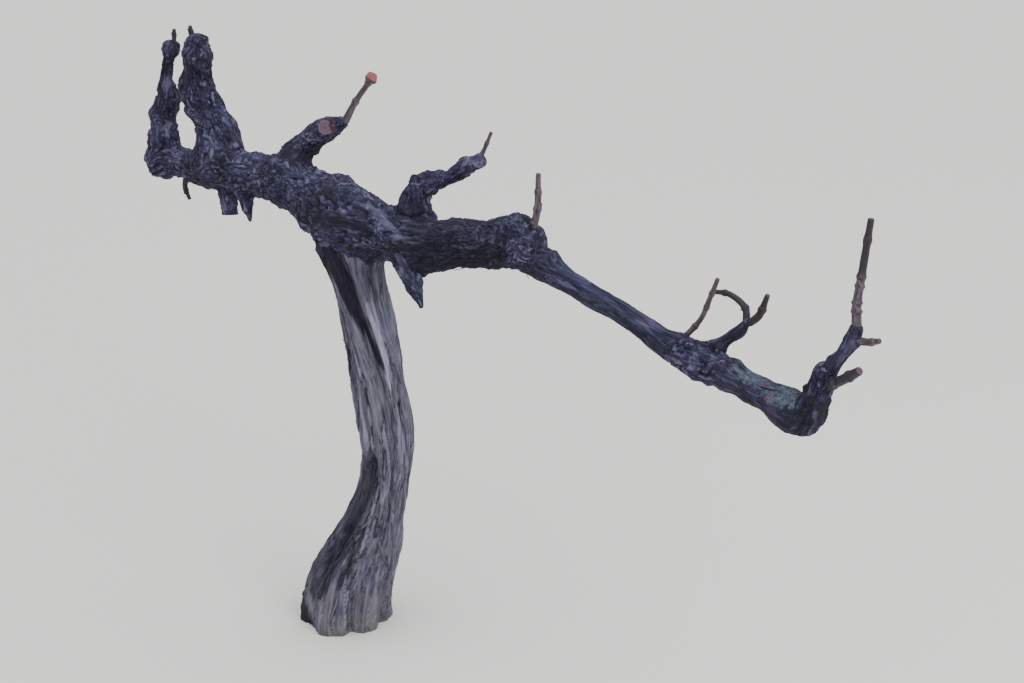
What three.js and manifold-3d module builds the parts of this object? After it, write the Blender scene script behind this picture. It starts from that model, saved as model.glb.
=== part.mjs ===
// An old grapevine in winter, pruned back to its spurs, as a three.js scene graph.
// Millimetres, +Z up. The origin is the middle of the flat cut at ground level, and +X runs along the row.
// The trunk bows over, forks at its head into a thick arm on each side, and the right arm runs on as a
// slim cordon. Every limb is its own solid, cut off 0.3 mm short of the limb that it grows from.
import * as THREE from "three";
import { mergeVertices } from "three/addons/utils/BufferGeometryUtils.js";
import Module from "manifold-3d";

const wasm = await Module();
wasm.setup();

// Driving dimensions
const HEAD_HEIGHT = 694; // top of the trunk, where the arms fork
const TRUNK_LEAN = 11; // how far the head stands to the right of the foot
const TRUNK_TIP_BACK = 6; // how far the head stands behind the foot
const TRUNK_BOW = 98; // how far the trunk swings to the right between foot and head
const TRUNK_BOW_FORWARD = 14; // the same swing, towards the front
const WAIST_RADIUS = 35; // the trunk at its slimmest
const FOOT_SWELL = 25; // what the root flare adds all round at ground level
const FOOT_SWELL_SHARE = 0.27; // share of the height at which most of the flare has gone
const HEAD_SWELL = 13; // what the head adds above the waist
const HEAD_SWELL_FROM = 0.6; // share of the height where the head starts to swell
const CROWN_ROUNDING = 34; // height of the dome that closes the trunk's top
const CROWN_CLOSING = 0.93; // how far that dome closes before it is capped flat
const GAP = 0.3; // clearance between a limb and the limb that it grows from

// Shallow flutes round the trunk: how many, their depth as a share of its radius, and their twist with height
const FLUTES = [
  { count: 3, depth: 0.045, twist: 5 },
  { count: 5, depth: 0.03, twist: -7 },
];

// Swellings of the trunk: their height above ground and half height, where round the trunk they stand, in
// degrees from +X, their reach and their half width in degrees. The first four are the buttress roots. Then
// come the low right side, the live wood up the left flank and the ridge that runs on into the right arm.
const TRUNK_SWELLINGS = [
  { height: 0, half: 150, bearing: 176, reach: 41, spread: 26 },
  { height: 0, half: 170, bearing: 292, reach: 12, spread: 34 },
  { height: 0, half: 170, bearing: 60, reach: 14, spread: 30 },
  { height: 0, half: 170, bearing: 232, reach: 10, spread: 22 },
  { height: 130, half: 90, bearing: 345, reach: 9, spread: 50 },
  { height: 400, half: 120, bearing: 200, reach: 12, spread: 42 },
  { height: 650, half: 90, bearing: 330, reach: 7, spread: 38 },
];

// Clefts where live wood has closed over dead: height and bearing at the head and the foot of each, its half
// width and its depth. The first four and the last show at the front, and the others run round the sides and
// the back.
const TRUNK_CLEFTS = [
  { head: [668, 283], foot: [460, 311], half: 8, depth: 10 },
  { head: [300, 270], foot: [110, 250], half: 9, depth: 9 },
  { head: [250, 328], foot: [180, 343], half: 6, depth: 4 },
  { head: [420, 354], foot: [345, 345], half: 6, depth: 4 },
  { head: [560, 35], foot: [320, 62], half: 8, depth: 7 },
  { head: [440, 112], foot: [80, 130], half: 8, depth: 7 },
  { head: [640, 130], foot: [500, 120], half: 8, depth: 6 },
  { head: [600, 208], foot: [300, 176], half: 8, depth: 7 },
  { head: [170, 205], foot: [0, 210], half: 9, depth: 9 },
  { head: [190, 24], foot: [0, 12], half: 9, depth: 8 },
  { head: [140, 322], foot: [0, 318], half: 9, depth: 8 },
];
const CLEFT_FADE = 22; // distance over which a cleft runs out past its ends

// Seeded unevenness of the trunk: lumps, and long strips that stand side by side. Each kind has a number of
// waves, their height, how often one goes round and how far it runs from foot to head, in radians.
const TRUNK_WAVES = [
  { waves: 9, height: 0.65, round: { least: 2, spread: 6 }, along: { least: 12, spread: 28 } },
  { waves: 7, height: 0.55, round: { least: 9, spread: 6 }, along: { least: -9, spread: 18 } },
];

// Boughs: joints along the limb's middle line, with its radius at each. Knots are swellings, each at a share
// of the length, with a bearing round the limb, a height and a half length. Bearings start at the front and
// run by the top of a limb to the left, the underside of a limb to the right and the right of an upright one.
const BOUGHS = {
  left_arm: {
    joints: [
      [24, -2, 661], [-80, 10, 684], [-154, 14, 689], [-247, 20, 686], [-340, 27, 677], [-440, 34, 664],
    ],
    radii: [42, 38, 33, 28, 24, 19],
    knots: [[0.3, 60, 7, 26], [0.52, 280, 9, 26], [0.78, 300, 6, 20], [0.93, 120, 7, 20]],
    sides: 16,
  },
  left_outer_spur: {
    joints: [[-431, 33, 668], [-434, 40, 706], [-438, 46, 732], [-436, 52, 762]],
    radii: [21, 21, 19, 14],
    knots: [[0.35, 90, 5, 12], [0.75, 270, 6, 11], [0.95, 90, 8, 12]],
    sides: 12,
  },
  left_outer_tip: {
    joints: [[-434, 54, 762], [-436, 57, 799], [-432, 57, 825], [-416, 55, 850]],
    radii: [13, 10, 10, 13],
    knots: [[0.85, 250, 4, 9], [0.08, 90, 9, 13]],
    sides: 10,
  },
  left_inner_spur: {
    joints: [[-284, 22, 690], [-281, 18, 739], [-289, 12, 770], [-301, 5, 800]],
    radii: [32, 30, 27, 21],
    knots: [[0.35, 90, 7, 20], [0.7, 190, 6, 16], [0.82, 270, 12, 14]],
    sides: 14,
  },
  left_inner_tip: {
    joints: [[-301, 5, 796], [-298, -1, 832], [-294, -3, 857], [-290, -4, 882]],
    radii: [20, 20, 22, 18],
    knots: [[0.2, 330, 4, 9], [0.7, 90, 5, 13], [0.8, 250, 5, 10]],
    sides: 12,
  },
  left_hanging_stub: {
    joints: [[-252, 14, 672], [-248, 9, 646], [-243, 4, 619]],
    radii: [17, 15, 13],
    knots: [[0.6, 0, 3, 9]],
    sides: 10,
    sawn: true,
  },
  left_bark_snag: {
    joints: [[-216, 12, 668], [-204, 4, 646], [-190, -2, 621]],
    radii: [14, 10, 4],
    knots: [],
    sides: 8,
  },
  top_spur: {
    joints: [[-124, 14, 706], [-112, 22, 730], [-92, 34, 756], [-63, 42, 774], [-36, 46, 789]],
    radii: [23, 21, 18, 16, 11],
    knots: [[0.5, 90, 5, 9]],
    sides: 12,
  },
  top_spur_cut: {
    joints: [[-76, 43, 770], [-64, 34, 776], [-50, 24, 784]],
    radii: [13, 13, 11],
    knots: [],
    sides: 12,
    sawn: true,
  },
  right_arm: {
    joints: [
      [8, -4, 656], [88, -2, 659], [134, -4, 658], [217, -6, 666], [287, -4, 680], [326, 0, 692], [356, 2, 688],
    ],
    radii: [45, 38, 35, 32, 32, 34, 28],
    knots: [[0.42, 80, 8, 22], [0.55, 270, 5, 20], [0.7, 95, 5, 16], [0.88, 275, 9, 15], [0.93, 340, 7, 12]],
    // A rope of live wood winds down over the front of the arm's root
    rope: { path: [[0.1, 286], [0.28, 330], [0.42, 372]], half: 11, height: 6 },
    sides: 26,
    roundRoot: true,
  },
  right_spur: {
    joints: [[150, 6, 672], [141, 14, 706], [144, 22, 729]],
    radii: [21, 20, 16],
    knots: [[0.6, 270, 5, 12]],
    sides: 12,
  },
  right_spur_tip: {
    joints: [[140, 21, 728], [166, 28, 743], [188, 32, 749], [217, 36, 769], [237, 40, 781]],
    radii: [14, 12, 11, 13, 10],
    knots: [[0.35, 90, 4, 8], [0.75, 270, 4, 9]],
    sides: 10,
  },
  hanging_snag: {
    joints: [[142, -18, 650], [160, -29, 630], [178, -35, 608], [195, -38, 577]],
    radii: [18, 17, 14, 4],
    knots: [],
    sides: 10,
  },
  cordon: {
    joints: [[346, 2, 684], [368, 3, 672], [410, 6, 655], [502, 8, 629], [595, 4, 603], [622, 2, 597]],
    radii: [23, 20, 17, 15, 16, 16],
    knots: [[0.3, 260, 3, 20], [0.75, 80, 3, 18]],
    sides: 14,
  },
  cordon_knot: {
    joints: [[612, 2, 600], [646, 1, 593], [676, -1, 590]],
    radii: [17, 24, 18],
    knots: [[0.4, 320, 6, 10], [0.6, 160, 6, 9], [0.5, 60, 5, 9]],
    sides: 14,
  },
  knot_spur: {
    joints: [[648, 4, 604], [666, 14, 622], [690, 22, 647], [695, 22, 654]],
    radii: [10, 9, 7, 6],
    knots: [[0.55, 90, 3, 8]],
    sides: 8,
  },
  cordon_end: {
    joints: [[668, 0, 590], [713, -4, 583], [744, -7, 576], [772, -9, 570], [802, -11, 563]],
    radii: [16, 17, 21, 24, 21],
    knots: [[0.3, 90, 3, 12], [0.75, 200, 4, 14]],
    sides: 12,
  },
  end_spur: {
    joints: [[802, -11, 558], [816, -12, 582], [826, -14, 610], [829, -14, 634]],
    radii: [19, 17, 14, 12],
    knots: [[0.5, 270, 3, 10], [0.8, 60, 4, 9]],
    sides: 12,
  },
  end_spur_tip: {
    joints: [[828, -14, 622], [846, -12, 652], [859, -10, 674], [866, -10, 694]],
    radii: [10, 9, 9, 9],
    knots: [[0.75, 60, 3, 7]],
    sides: 8,
  },
};

// Twigs: cut-back canes of last summer, one mass each, as joints with a radius at each. Some end in a knob.
const TWIGS = {
  twigs_left_hook: { joints: [[-363, 25, 655], [-365, 22, 637], [-354, 20, 620]], radii: [5, 4, 3] },
  twigs_left_outer: { joints: [[-414, 55, 854], [-410, 54, 866], [-408, 53, 878]], radii: [4.5, 3.5, 3] },
  twigs_left_inner: { joints: [[-298, -4, 884], [-302, -4, 895], [-303, -5, 905]], radii: [5, 4, 3] },
  twigs_top_spur: {
    joints: [[-30, 48, 793], [-14, 54, 824], [2, 60, 848], [10, 62, 860]],
    radii: [6, 4.5, 4.5, 5],
    knob: 9,
  },
  twigs_right_spur: { joints: [[236, 41, 784], [243, 43, 799], [252, 45, 821]], radii: [4, 3, 2.5] },
  twigs_right_arm: { joints: [[356, 5, 704], [366, 6, 738], [366, 8, 790]], radii: [5.5, 5, 3.5] },
  twigs_cordon: {
    joints: [[606, 8, 612], [630, 14, 645], [640, 16, 672], [651, 16, 702]],
    radii: [4, 3.5, 3.5, 3],
  },
  twigs_knot_left: {
    joints: [[692, 25, 650], [685, 31, 668], [658, 36, 679], [634, 38, 677]],
    radii: [5, 4.5, 4, 3],
  },
  twigs_knot_right: { joints: [[699, 22, 654], [713, 20, 668], [724, 18, 696]], radii: [5, 5, 3.5] },
  twigs_end_side: { joints: [[834, -18, 617], [856, -26, 629], [886, -34, 652]], radii: [6.5, 6.5, 5.5] },
  twigs_end_node: { joints: [[866, -11, 680], [884, -12, 682], [898, -13, 687]], radii: [5.5, 4.5, 3.5] },
  twigs_end_spur: {
    joints: [[866, -10, 694], [863, -8, 726], [865, -6, 758], [870, -3, 828]],
    radii: [6.5, 5.5, 5, 4],
  },
};

// Make-up of the solids
const TRUNK_RINGS = 46;
const TRUNK_SIDES = 48;
const RING_STEP = 19; // spacing of the rings along a bough
const TWIG_SIDES = 5;
const TWIG_RINGS = 9;
const KNOB_SIDES = 8;
const KNOB_RINGS = [-0.9, -0.3, 0.35, 0.8]; // shares of a knob's radius at which its rings stand
const ROUND_RINGS = [0.35, 0.7, 0.94]; // shares of its depth at which a rounded end's rings stand
const ROUND_DEPTH = 0.8; // depth of a rounded tip, as a share of its radius
const ROOT_DEPTH = 0.7; // depth of a rounded root, as a share of its radius
const SAWN_SHARE = 0.86; // share of the radius that a sawn face keeps
const SAWN_CHAMFER = 2; // depth of the worn edge round a sawn face
const KNOT_SPREAD = 1.1; // how far round the limb a knot spreads, in radians
const ROPE_FADE = 14; // distance over which a rope of live wood runs out past its ends

// Seeded unevenness of a bough: waves that go round it and along it
const BOUGH_WAVES = { waves: 5, round: { least: 1, spread: 4 }, along: { least: 4, spread: 14 } };
const WAVE_SHARE = 0.03; // height of each, as a share of the radius

// Buds on a cane: their spacing, lean along it, length and radii, the last three in radii of the cane
const BUD_SPACING = 24;
const BUD_LEAN = 0.9;
const BUD_REACH = { least: 2, spread: 0.7 };
const BUD_RADIUS = { root: 1.05, tip: 0.45 };

const bark = { dark: 0x2b272b, trunk: 0x6b6159, cane: 0x5a3c30 };
const barkMaterial = (color) => new THREE.MeshStandardMaterial({ color, roughness: 0.95, metalness: 0 });

// A repeatable stream of numbers from 0 to 1 for one named limb.
function seededRandom(name) {
  let state = [...name].reduce((sum, letter) => (sum * 31 + letter.charCodeAt(0)) >>> 0, 7);
  return () => {
    state = (state + 0x6d2b79f5) >>> 0;
    let mixed = Math.imul(state ^ (state >>> 15), state | 1);
    mixed ^= mixed + Math.imul(mixed ^ (mixed >>> 7), mixed | 61);
    return ((mixed ^ (mixed >>> 14)) >>> 0) / 4294967296;
  };
}

const degrees = THREE.MathUtils.degToRad;

// A bell-shaped share: 1 where the distance is nothing, and fading over the spread.
const bell = (distance, spread) => Math.exp(-((distance / spread) ** 2));

// Shortest angle between two bearings, in radians.
function between(a, b) {
  const turn = Math.abs(a - b) % (2 * Math.PI);
  return turn > Math.PI ? 2 * Math.PI - turn : turn;
}

// The seeded waves of one kind: how often each goes round, how far it runs along, and where it starts.
const wavesFrom = (random, { waves, round, along }) =>
  Array.from({ length: waves }, () => ({
    round: round.least + Math.floor(random() * round.spread),
    along: along.least + random() * along.spread,
    phase: random() * 2 * Math.PI,
  }));

const lineThrough = (joints) =>
  new THREE.CatmullRomCurve3(joints.map((p) => new THREE.Vector3(...p)), false, "centripetal");

// Points and cross axes at even steps along a smooth line, with no twist from one to the next.
function framesAlong(pointAt, rings, firstAcross) {
  const frames = [];
  const nudge = 0.002;
  let across = firstAcross.clone();
  for (let i = 0; i <= rings; i++) {
    const t = i / rings;
    const ahead = pointAt(Math.min(1, t + nudge)).sub(pointAt(Math.max(0, t - nudge))).normalize();
    across = across.addScaledVector(ahead, -across.dot(ahead)).normalize();
    const up = new THREE.Vector3().crossVectors(ahead, across);
    frames.push({ t, centre: pointAt(t), ahead, across: across.clone(), up });
  }
  return frames;
}

// The same cross axes, moved some way ahead.
function movedAhead(frame, distance) {
  return { ...frame, centre: frame.centre.clone().addScaledVector(frame.ahead, distance) };
}

function ringOf(frame, sides, radiusAt) {
  return Array.from({ length: sides }, (_, j) => {
    const bearing = (j / sides) * 2 * Math.PI;
    const radius = radiusAt(bearing);
    return frame.centre
      .clone()
      .addScaledVector(frame.across, Math.cos(bearing) * radius)
      .addScaledVector(frame.up, Math.sin(bearing) * radius);
  });
}

// Rings of points, one after another, closed with a fan at each end, as a manifold solid.
function solidFromRings(rings) {
  const sides = rings[0].length;
  const positions = [];
  const triangles = [];
  for (const ring of rings) for (const p of ring) positions.push(p.x, p.y, p.z);
  for (let i = 0; i + 1 < rings.length; i++)
    for (let j = 0; j < sides; j++) {
      const a = i * sides + j;
      const b = i * sides + ((j + 1) % sides);
      triangles.push(a, b, b + sides, a, b + sides, a + sides);
    }
  const centreOf = (ring) => ring.reduce((sum, p) => sum.add(p), new THREE.Vector3()).divideScalar(sides);
  for (const [index, flip] of [[0, true], [rings.length - 1, false]]) {
    const centre = centreOf(rings[index]);
    const hub = positions.length / 3;
    positions.push(centre.x, centre.y, centre.z);
    for (let j = 0; j < sides; j++) {
      const a = index * sides + j;
      const b = index * sides + ((j + 1) % sides);
      triangles.push(...(flip ? [hub, b, a] : [hub, a, b]));
    }
  }
  const geometry = new THREE.BufferGeometry();
  geometry.setAttribute("position", new THREE.Float32BufferAttribute(positions, 3));
  geometry.setIndex(triangles);
  const merged = mergeVertices(geometry, 1e-4);
  return new wasm.Manifold(
    new wasm.Mesh({
      numProp: 3,
      vertProperties: new Float32Array(merged.attributes.position.array),
      triVerts: new Uint32Array(merged.index.array),
    }),
  );
}

// The trunk's middle line: a lean, with one swing to the right and forward that has gone at both ends.
function trunkCentre(t) {
  const swing = Math.sin(Math.PI * t ** 0.95) ** 2;
  return new THREE.Vector3(
    TRUNK_LEAN * t + TRUNK_BOW * swing,
    TRUNK_TIP_BACK * t - TRUNK_BOW_FORWARD * swing,
    HEAD_HEIGHT * t,
  );
}

const trunkRandom = seededRandom("trunk");
const trunkWaves = TRUNK_WAVES.flatMap((kind) =>
  wavesFrom(trunkRandom, kind).map((wave) => ({ ...wave, height: kind.height })),
);

function trunkRadius(t, bearing) {
  const foot = FOOT_SWELL * Math.exp(-((t / FOOT_SWELL_SHARE) ** 3.2));
  const aboveWaist = Math.max(0, (t - HEAD_SWELL_FROM) / (1 - HEAD_SWELL_FROM));
  let radius = WAIST_RADIUS + foot + HEAD_SWELL * aboveWaist ** 1.5;
  let flutes = 1;
  for (const { count, depth, twist } of FLUTES) flutes += depth * Math.cos(count * bearing + twist * t);
  radius *= flutes;
  for (const swelling of TRUNK_SWELLINGS) {
    const beside = between(bearing, degrees(swelling.bearing));
    const above = t * HEAD_HEIGHT - swelling.height;
    radius += swelling.reach * bell(above, swelling.half) * bell(beside, degrees(swelling.spread));
  }
  for (const { head, foot, half, depth } of TRUNK_CLEFTS) {
    const height = t * HEAD_HEIGHT;
    const down = THREE.MathUtils.clamp((head[0] - height) / (head[0] - foot[0]), 0, 1);
    const past = Math.max(0, height - head[0], foot[0] - height);
    const beside = between(bearing, degrees(head[1] + down * (foot[1] - head[1]))) * radius;
    radius -= depth * bell(past, CLEFT_FADE) * bell(beside, half);
  }
  for (const { round, along, phase, height } of trunkWaves)
    radius += height * Math.sin(round * bearing + along * t + phase);
  return radius;
}

// The trunk's rings lie level, so that the cut at its foot is flat, and a dome closes its top.
function trunkSolid(extra) {
  const rings = [];
  for (let i = 0; i <= TRUNK_RINGS; i++) {
    const t = i / TRUNK_RINGS;
    const intoDome = Math.max(0, 1 - (HEAD_HEIGHT * (1 - t)) / CROWN_ROUNDING);
    const dome = Math.sqrt(1 - CROWN_CLOSING * intoDome ** 2);
    const centre = trunkCentre(t);
    if (i === TRUNK_RINGS) centre.z += extra;
    const frame = { centre, across: new THREE.Vector3(1, 0, 0), up: new THREE.Vector3(0, 1, 0) };
    rings.push(ringOf(frame, TRUNK_SIDES, (bearing) => trunkRadius(t, bearing) * dome + extra));
  }
  return solidFromRings(rings);
}

// A radius that runs smoothly through the values given at even shares of the length.
function smoothValue(values, t) {
  const curve = new THREE.SplineCurve(values.map((value, i) => new THREE.Vector2(i, value)));
  return curve.getPoint(t).y;
}

// How high a rope of live wood stands on its bough at one place.
function ropeHeight({ path, half, height }, t, bearing, length, radius) {
  const [start, end] = [path[0][0], path[path.length - 1][0]];
  const index = Math.max(1, path.findIndex(([share]) => share >= Math.min(t, end)));
  const [[shareBefore, sideBefore], [shareAfter, sideAfter]] = [path[index - 1], path[index]];
  const on = THREE.MathUtils.clamp((t - shareBefore) / (shareAfter - shareBefore), 0, 1);
  const beside = between(bearing, degrees(sideBefore + on * (sideAfter - sideBefore))) * radius;
  const past = Math.max(0, start - t, t - end) * length;
  return height * bell(beside, half) * bell(past, ROPE_FADE);
}

// One bough: a tapering tube through its joints, with knots, a seeded unevenness and a round or sawn end.
function boughSolid(name, bough, extra) {
  const random = seededRandom(name);
  const line = lineThrough(bough.joints);
  const length = line.getLength();
  const rings = Math.max(5, Math.round(length / RING_STEP));
  const frames = framesAlong((t) => line.getPoint(t), rings, new THREE.Vector3(0.3, -1, 0.2));
  const waves = wavesFrom(random, BOUGH_WAVES);
  const radiusAt = (t, bearing) => {
    let radius = smoothValue(bough.radii, t);
    for (const { round, along, phase } of waves)
      radius *= 1 + WAVE_SHARE * Math.sin(round * bearing + along * t + phase);
    for (const [share, side, height, half] of bough.knots) {
      const beside = between(bearing, degrees(side));
      radius += height * bell((t - share) * length, half) * bell(beside, KNOT_SPREAD);
    }
    return radius + (bough.rope ? ropeHeight(bough.rope, t, bearing, length, radius) : 0) + extra;
  };
  const ringAt = (frame, keep, forward) =>
    ringOf(movedAhead(frame, forward), bough.sides, (bearing) => radiusAt(frame.t, bearing) * keep);
  const shell = frames.map((frame) => ringAt(frame, 1, 0));
  const [first, last] = [frames[0], frames[rings]];
  const rootDepth = bough.radii[0] * ROOT_DEPTH;
  const tipDepth = bough.radii[bough.radii.length - 1] * ROUND_DEPTH;
  const keptAt = (share) => Math.sqrt(1 - share ** 2);
  if (bough.roundRoot)
    for (const share of ROUND_RINGS) shell.unshift(ringAt(first, keptAt(share), -share * rootDepth - extra));
  if (bough.sawn) shell.push(ringAt(last, SAWN_SHARE, SAWN_CHAMFER + extra));
  else for (const share of ROUND_RINGS) shell.push(ringAt(last, keptAt(share), share * tipDepth + extra));
  return solidFromRings(shell);
}

// One bud, or the stump of a side shoot, that leans out of a cane.
function budSolid(frame, side, stemRadius, reach) {
  const out = frame.across.clone().multiplyScalar(side).addScaledVector(frame.ahead, BUD_LEAN).normalize();
  const pointAt = (t) => frame.centre.clone().addScaledVector(out, t * reach);
  const radiusAt = (t) => stemRadius * (BUD_RADIUS.root + (BUD_RADIUS.tip - BUD_RADIUS.root) * t);
  return solidFromRings(
    framesAlong(pointAt, 2, frame.up).map((step) => ringOf(step, TWIG_SIDES, () => radiusAt(step.t))),
  );
}

// The swollen end of a cane.
function knobSolid(frame, radius, extra) {
  const radiusAt = (share) => radius * Math.sqrt(1.02 - share ** 2) + extra;
  return solidFromRings(
    KNOB_RINGS.map((share) => ringOf(movedAhead(frame, share * radius), KNOB_SIDES, () => radiusAt(share))),
  );
}

// One twig mass: a cane with buds at even steps, by turns on its two sides, and a knob where it has one.
function twigSolid(name, twig, extra) {
  const random = seededRandom(name);
  const line = lineThrough(twig.joints);
  const frames = framesAlong((t) => line.getPoint(t), TWIG_RINGS, new THREE.Vector3(0.2, -1, 0.3));
  const radiusAt = (t) => smoothValue(twig.radii, t) + extra;
  let solid = solidFromRings(frames.map((frame) => ringOf(frame, TWIG_SIDES, () => radiusAt(frame.t))));
  const buds = Math.max(1, Math.round(line.getLength() / BUD_SPACING) - 1);
  for (let i = 1; i <= buds; i++) {
    const frame = frames[Math.round((i / (buds + 0.6)) * TWIG_RINGS)];
    const stemRadius = radiusAt(frame.t);
    const reach = stemRadius * (BUD_REACH.least + random() * BUD_REACH.spread);
    solid = solid.add(budSolid(frame, i % 2 ? 1 : -1, stemRadius, reach));
  }
  if (twig.knob) solid = solid.add(knobSolid(frames[TWIG_RINGS], twig.knob, extra));
  return solid;
}

// The biggest body of a solid: what a cut leaves as loose scraps is dropped.
function biggest(solid) {
  return solid.decompose().sort((a, b) => b.volume() - a.volume())[0];
}

function meshOf(name, solid, color) {
  const { numProp, numVert, vertProperties, triVerts } = solid.getMesh();
  const positions = new Float32Array(numVert * 3);
  for (let i = 0; i < numVert; i++) {
    const start = i * numProp;
    positions.set(vertProperties.subarray(start, start + 3), i * 3);
  }
  const geometry = new THREE.BufferGeometry();
  geometry.setAttribute("position", new THREE.BufferAttribute(positions, 3));
  geometry.setIndex(new THREE.BufferAttribute(new Uint32Array(triVerts), 1));
  geometry.computeVertexNormals();
  const mesh = new THREE.Mesh(geometry, barkMaterial(color));
  mesh.name = name;
  return mesh;
}

// Each limb in turn is cut back from all that stand already, so that it meets them a gap clear.
const vine = new THREE.Group();
const standing = [];
function place(name, color, solidWith) {
  let solid = solidWith(0);
  for (const grown of standing) solid = solid.subtract(grown);
  vine.add(meshOf(name, biggest(solid), color));
  standing.push(solidWith(GAP));
}

place("trunk", bark.trunk, trunkSolid);
for (const [name, bough] of Object.entries(BOUGHS))
  place(name, bark.dark, (extra) => boughSolid(name, bough, extra));
for (const [name, twig] of Object.entries(TWIGS))
  place(name, bark.cane, (extra) => twigSolid(name, twig, extra));

export default vine;
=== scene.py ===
"""An old grapevine in winter: bark, canes and cut faces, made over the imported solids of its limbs."""
import itertools
import math

import bpy
import numpy as np
from mathutils import Matrix, Vector


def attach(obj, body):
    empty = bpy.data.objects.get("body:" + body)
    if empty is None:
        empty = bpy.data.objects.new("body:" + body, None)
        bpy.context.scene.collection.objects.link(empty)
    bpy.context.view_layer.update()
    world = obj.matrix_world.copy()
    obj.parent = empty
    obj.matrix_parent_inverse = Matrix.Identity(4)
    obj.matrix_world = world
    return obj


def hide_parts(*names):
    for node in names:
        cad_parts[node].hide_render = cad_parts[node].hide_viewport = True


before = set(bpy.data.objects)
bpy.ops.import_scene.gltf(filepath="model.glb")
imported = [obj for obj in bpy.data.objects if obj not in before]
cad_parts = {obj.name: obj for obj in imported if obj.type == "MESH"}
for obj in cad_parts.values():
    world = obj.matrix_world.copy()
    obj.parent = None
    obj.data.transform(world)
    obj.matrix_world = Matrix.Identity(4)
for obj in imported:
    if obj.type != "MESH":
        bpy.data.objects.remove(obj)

bl_info = {
    "name": "Winter Grapevine",
    "version": (1, 0, 0),
    "blender": (4, 5, 0),
    "location": "3D View > Sidebar > Grapevine",
    "description": "Dresses a pruned grapevine's limbs in bark, canes and cut wood",
    "category": "Add Mesh",
}

BODY = "root"
TO_METRES = 0.001
WHOLE_TURN = 2 * math.pi
MERGE_DISTANCE = 1e-6  # metres within which two points are one

# The trunk, in millimetres, as its solid has it
HEAD_HEIGHT = 694
TRUNK_LEAN = 11
TRUNK_TIP_BACK = 6
TRUNK_BOW = 98
TRUNK_BOW_FORWARD = 14
TRUNK_BOW_SKEW = 0.95  # power that brings the bow's widest place a little lower than halfway
WAIST_RADIUS = 35
FOOT_SWELL = 25
FOOT_SWELL_SHARE = 0.27
FOOT_SWELL_POWER = 3.2
HEAD_SWELL = 13
HEAD_SWELL_FROM = 0.6
HEAD_SWELL_POWER = 1.5
CROWN_ROUNDING = 34
FLUTES = ((3, 0.045, 5), (5, 0.03, -7))  # count, depth as a share of the radius, twist with height
# Height above ground, half height, bearing in degrees from +X, reach and half width in degrees
TRUNK_SWELLINGS = (
    (0, 150, 176, 41, 26),
    (0, 170, 292, 12, 34),
    (0, 170, 60, 14, 30),
    (0, 170, 232, 10, 22),
    (130, 90, 345, 9, 50),
    (400, 120, 200, 12, 42),
    (650, 90, 330, 7, 38),
)
# Clefts where live wood has closed over dead: height and bearing at both ends, half width and depth
TRUNK_CLEFTS = (
    ((668, 283), (460, 311), 8, 10),
    ((300, 270), (110, 250), 9, 9),
    ((250, 328), (180, 343), 6, 4),
    ((420, 354), (345, 345), 6, 4),
    ((560, 35), (320, 62), 8, 7),
    ((440, 112), (80, 130), 8, 7),
    ((640, 130), (500, 120), 8, 6),
    ((600, 208), (300, 176), 8, 7),
    ((170, 205), (0, 210), 9, 9),
    ((190, 24), (0, 12), 9, 8),
    ((140, 322), (0, 318), 9, 8),
)
CLEFT_FADE = 22
FOOT_BURRS = (24, 2.6, 75)  # size and height of the burrs round the foot, and how far up they go
# Seeded lumps and long strips of the trunk: how many waves of each kind, their height, the least and the
# spread of how often one goes round, and of how far it runs from foot to head, in radians
TRUNK_WAVES = (
    (9, 0.65, (2, 6), (12, 28)),
    (7, 0.55, (9, 6), (-9, 18)),
)
TRUNK_GRAIN_TWIST = 0.9  # how far the strips wind round the trunk from foot to head, in radians

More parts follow.
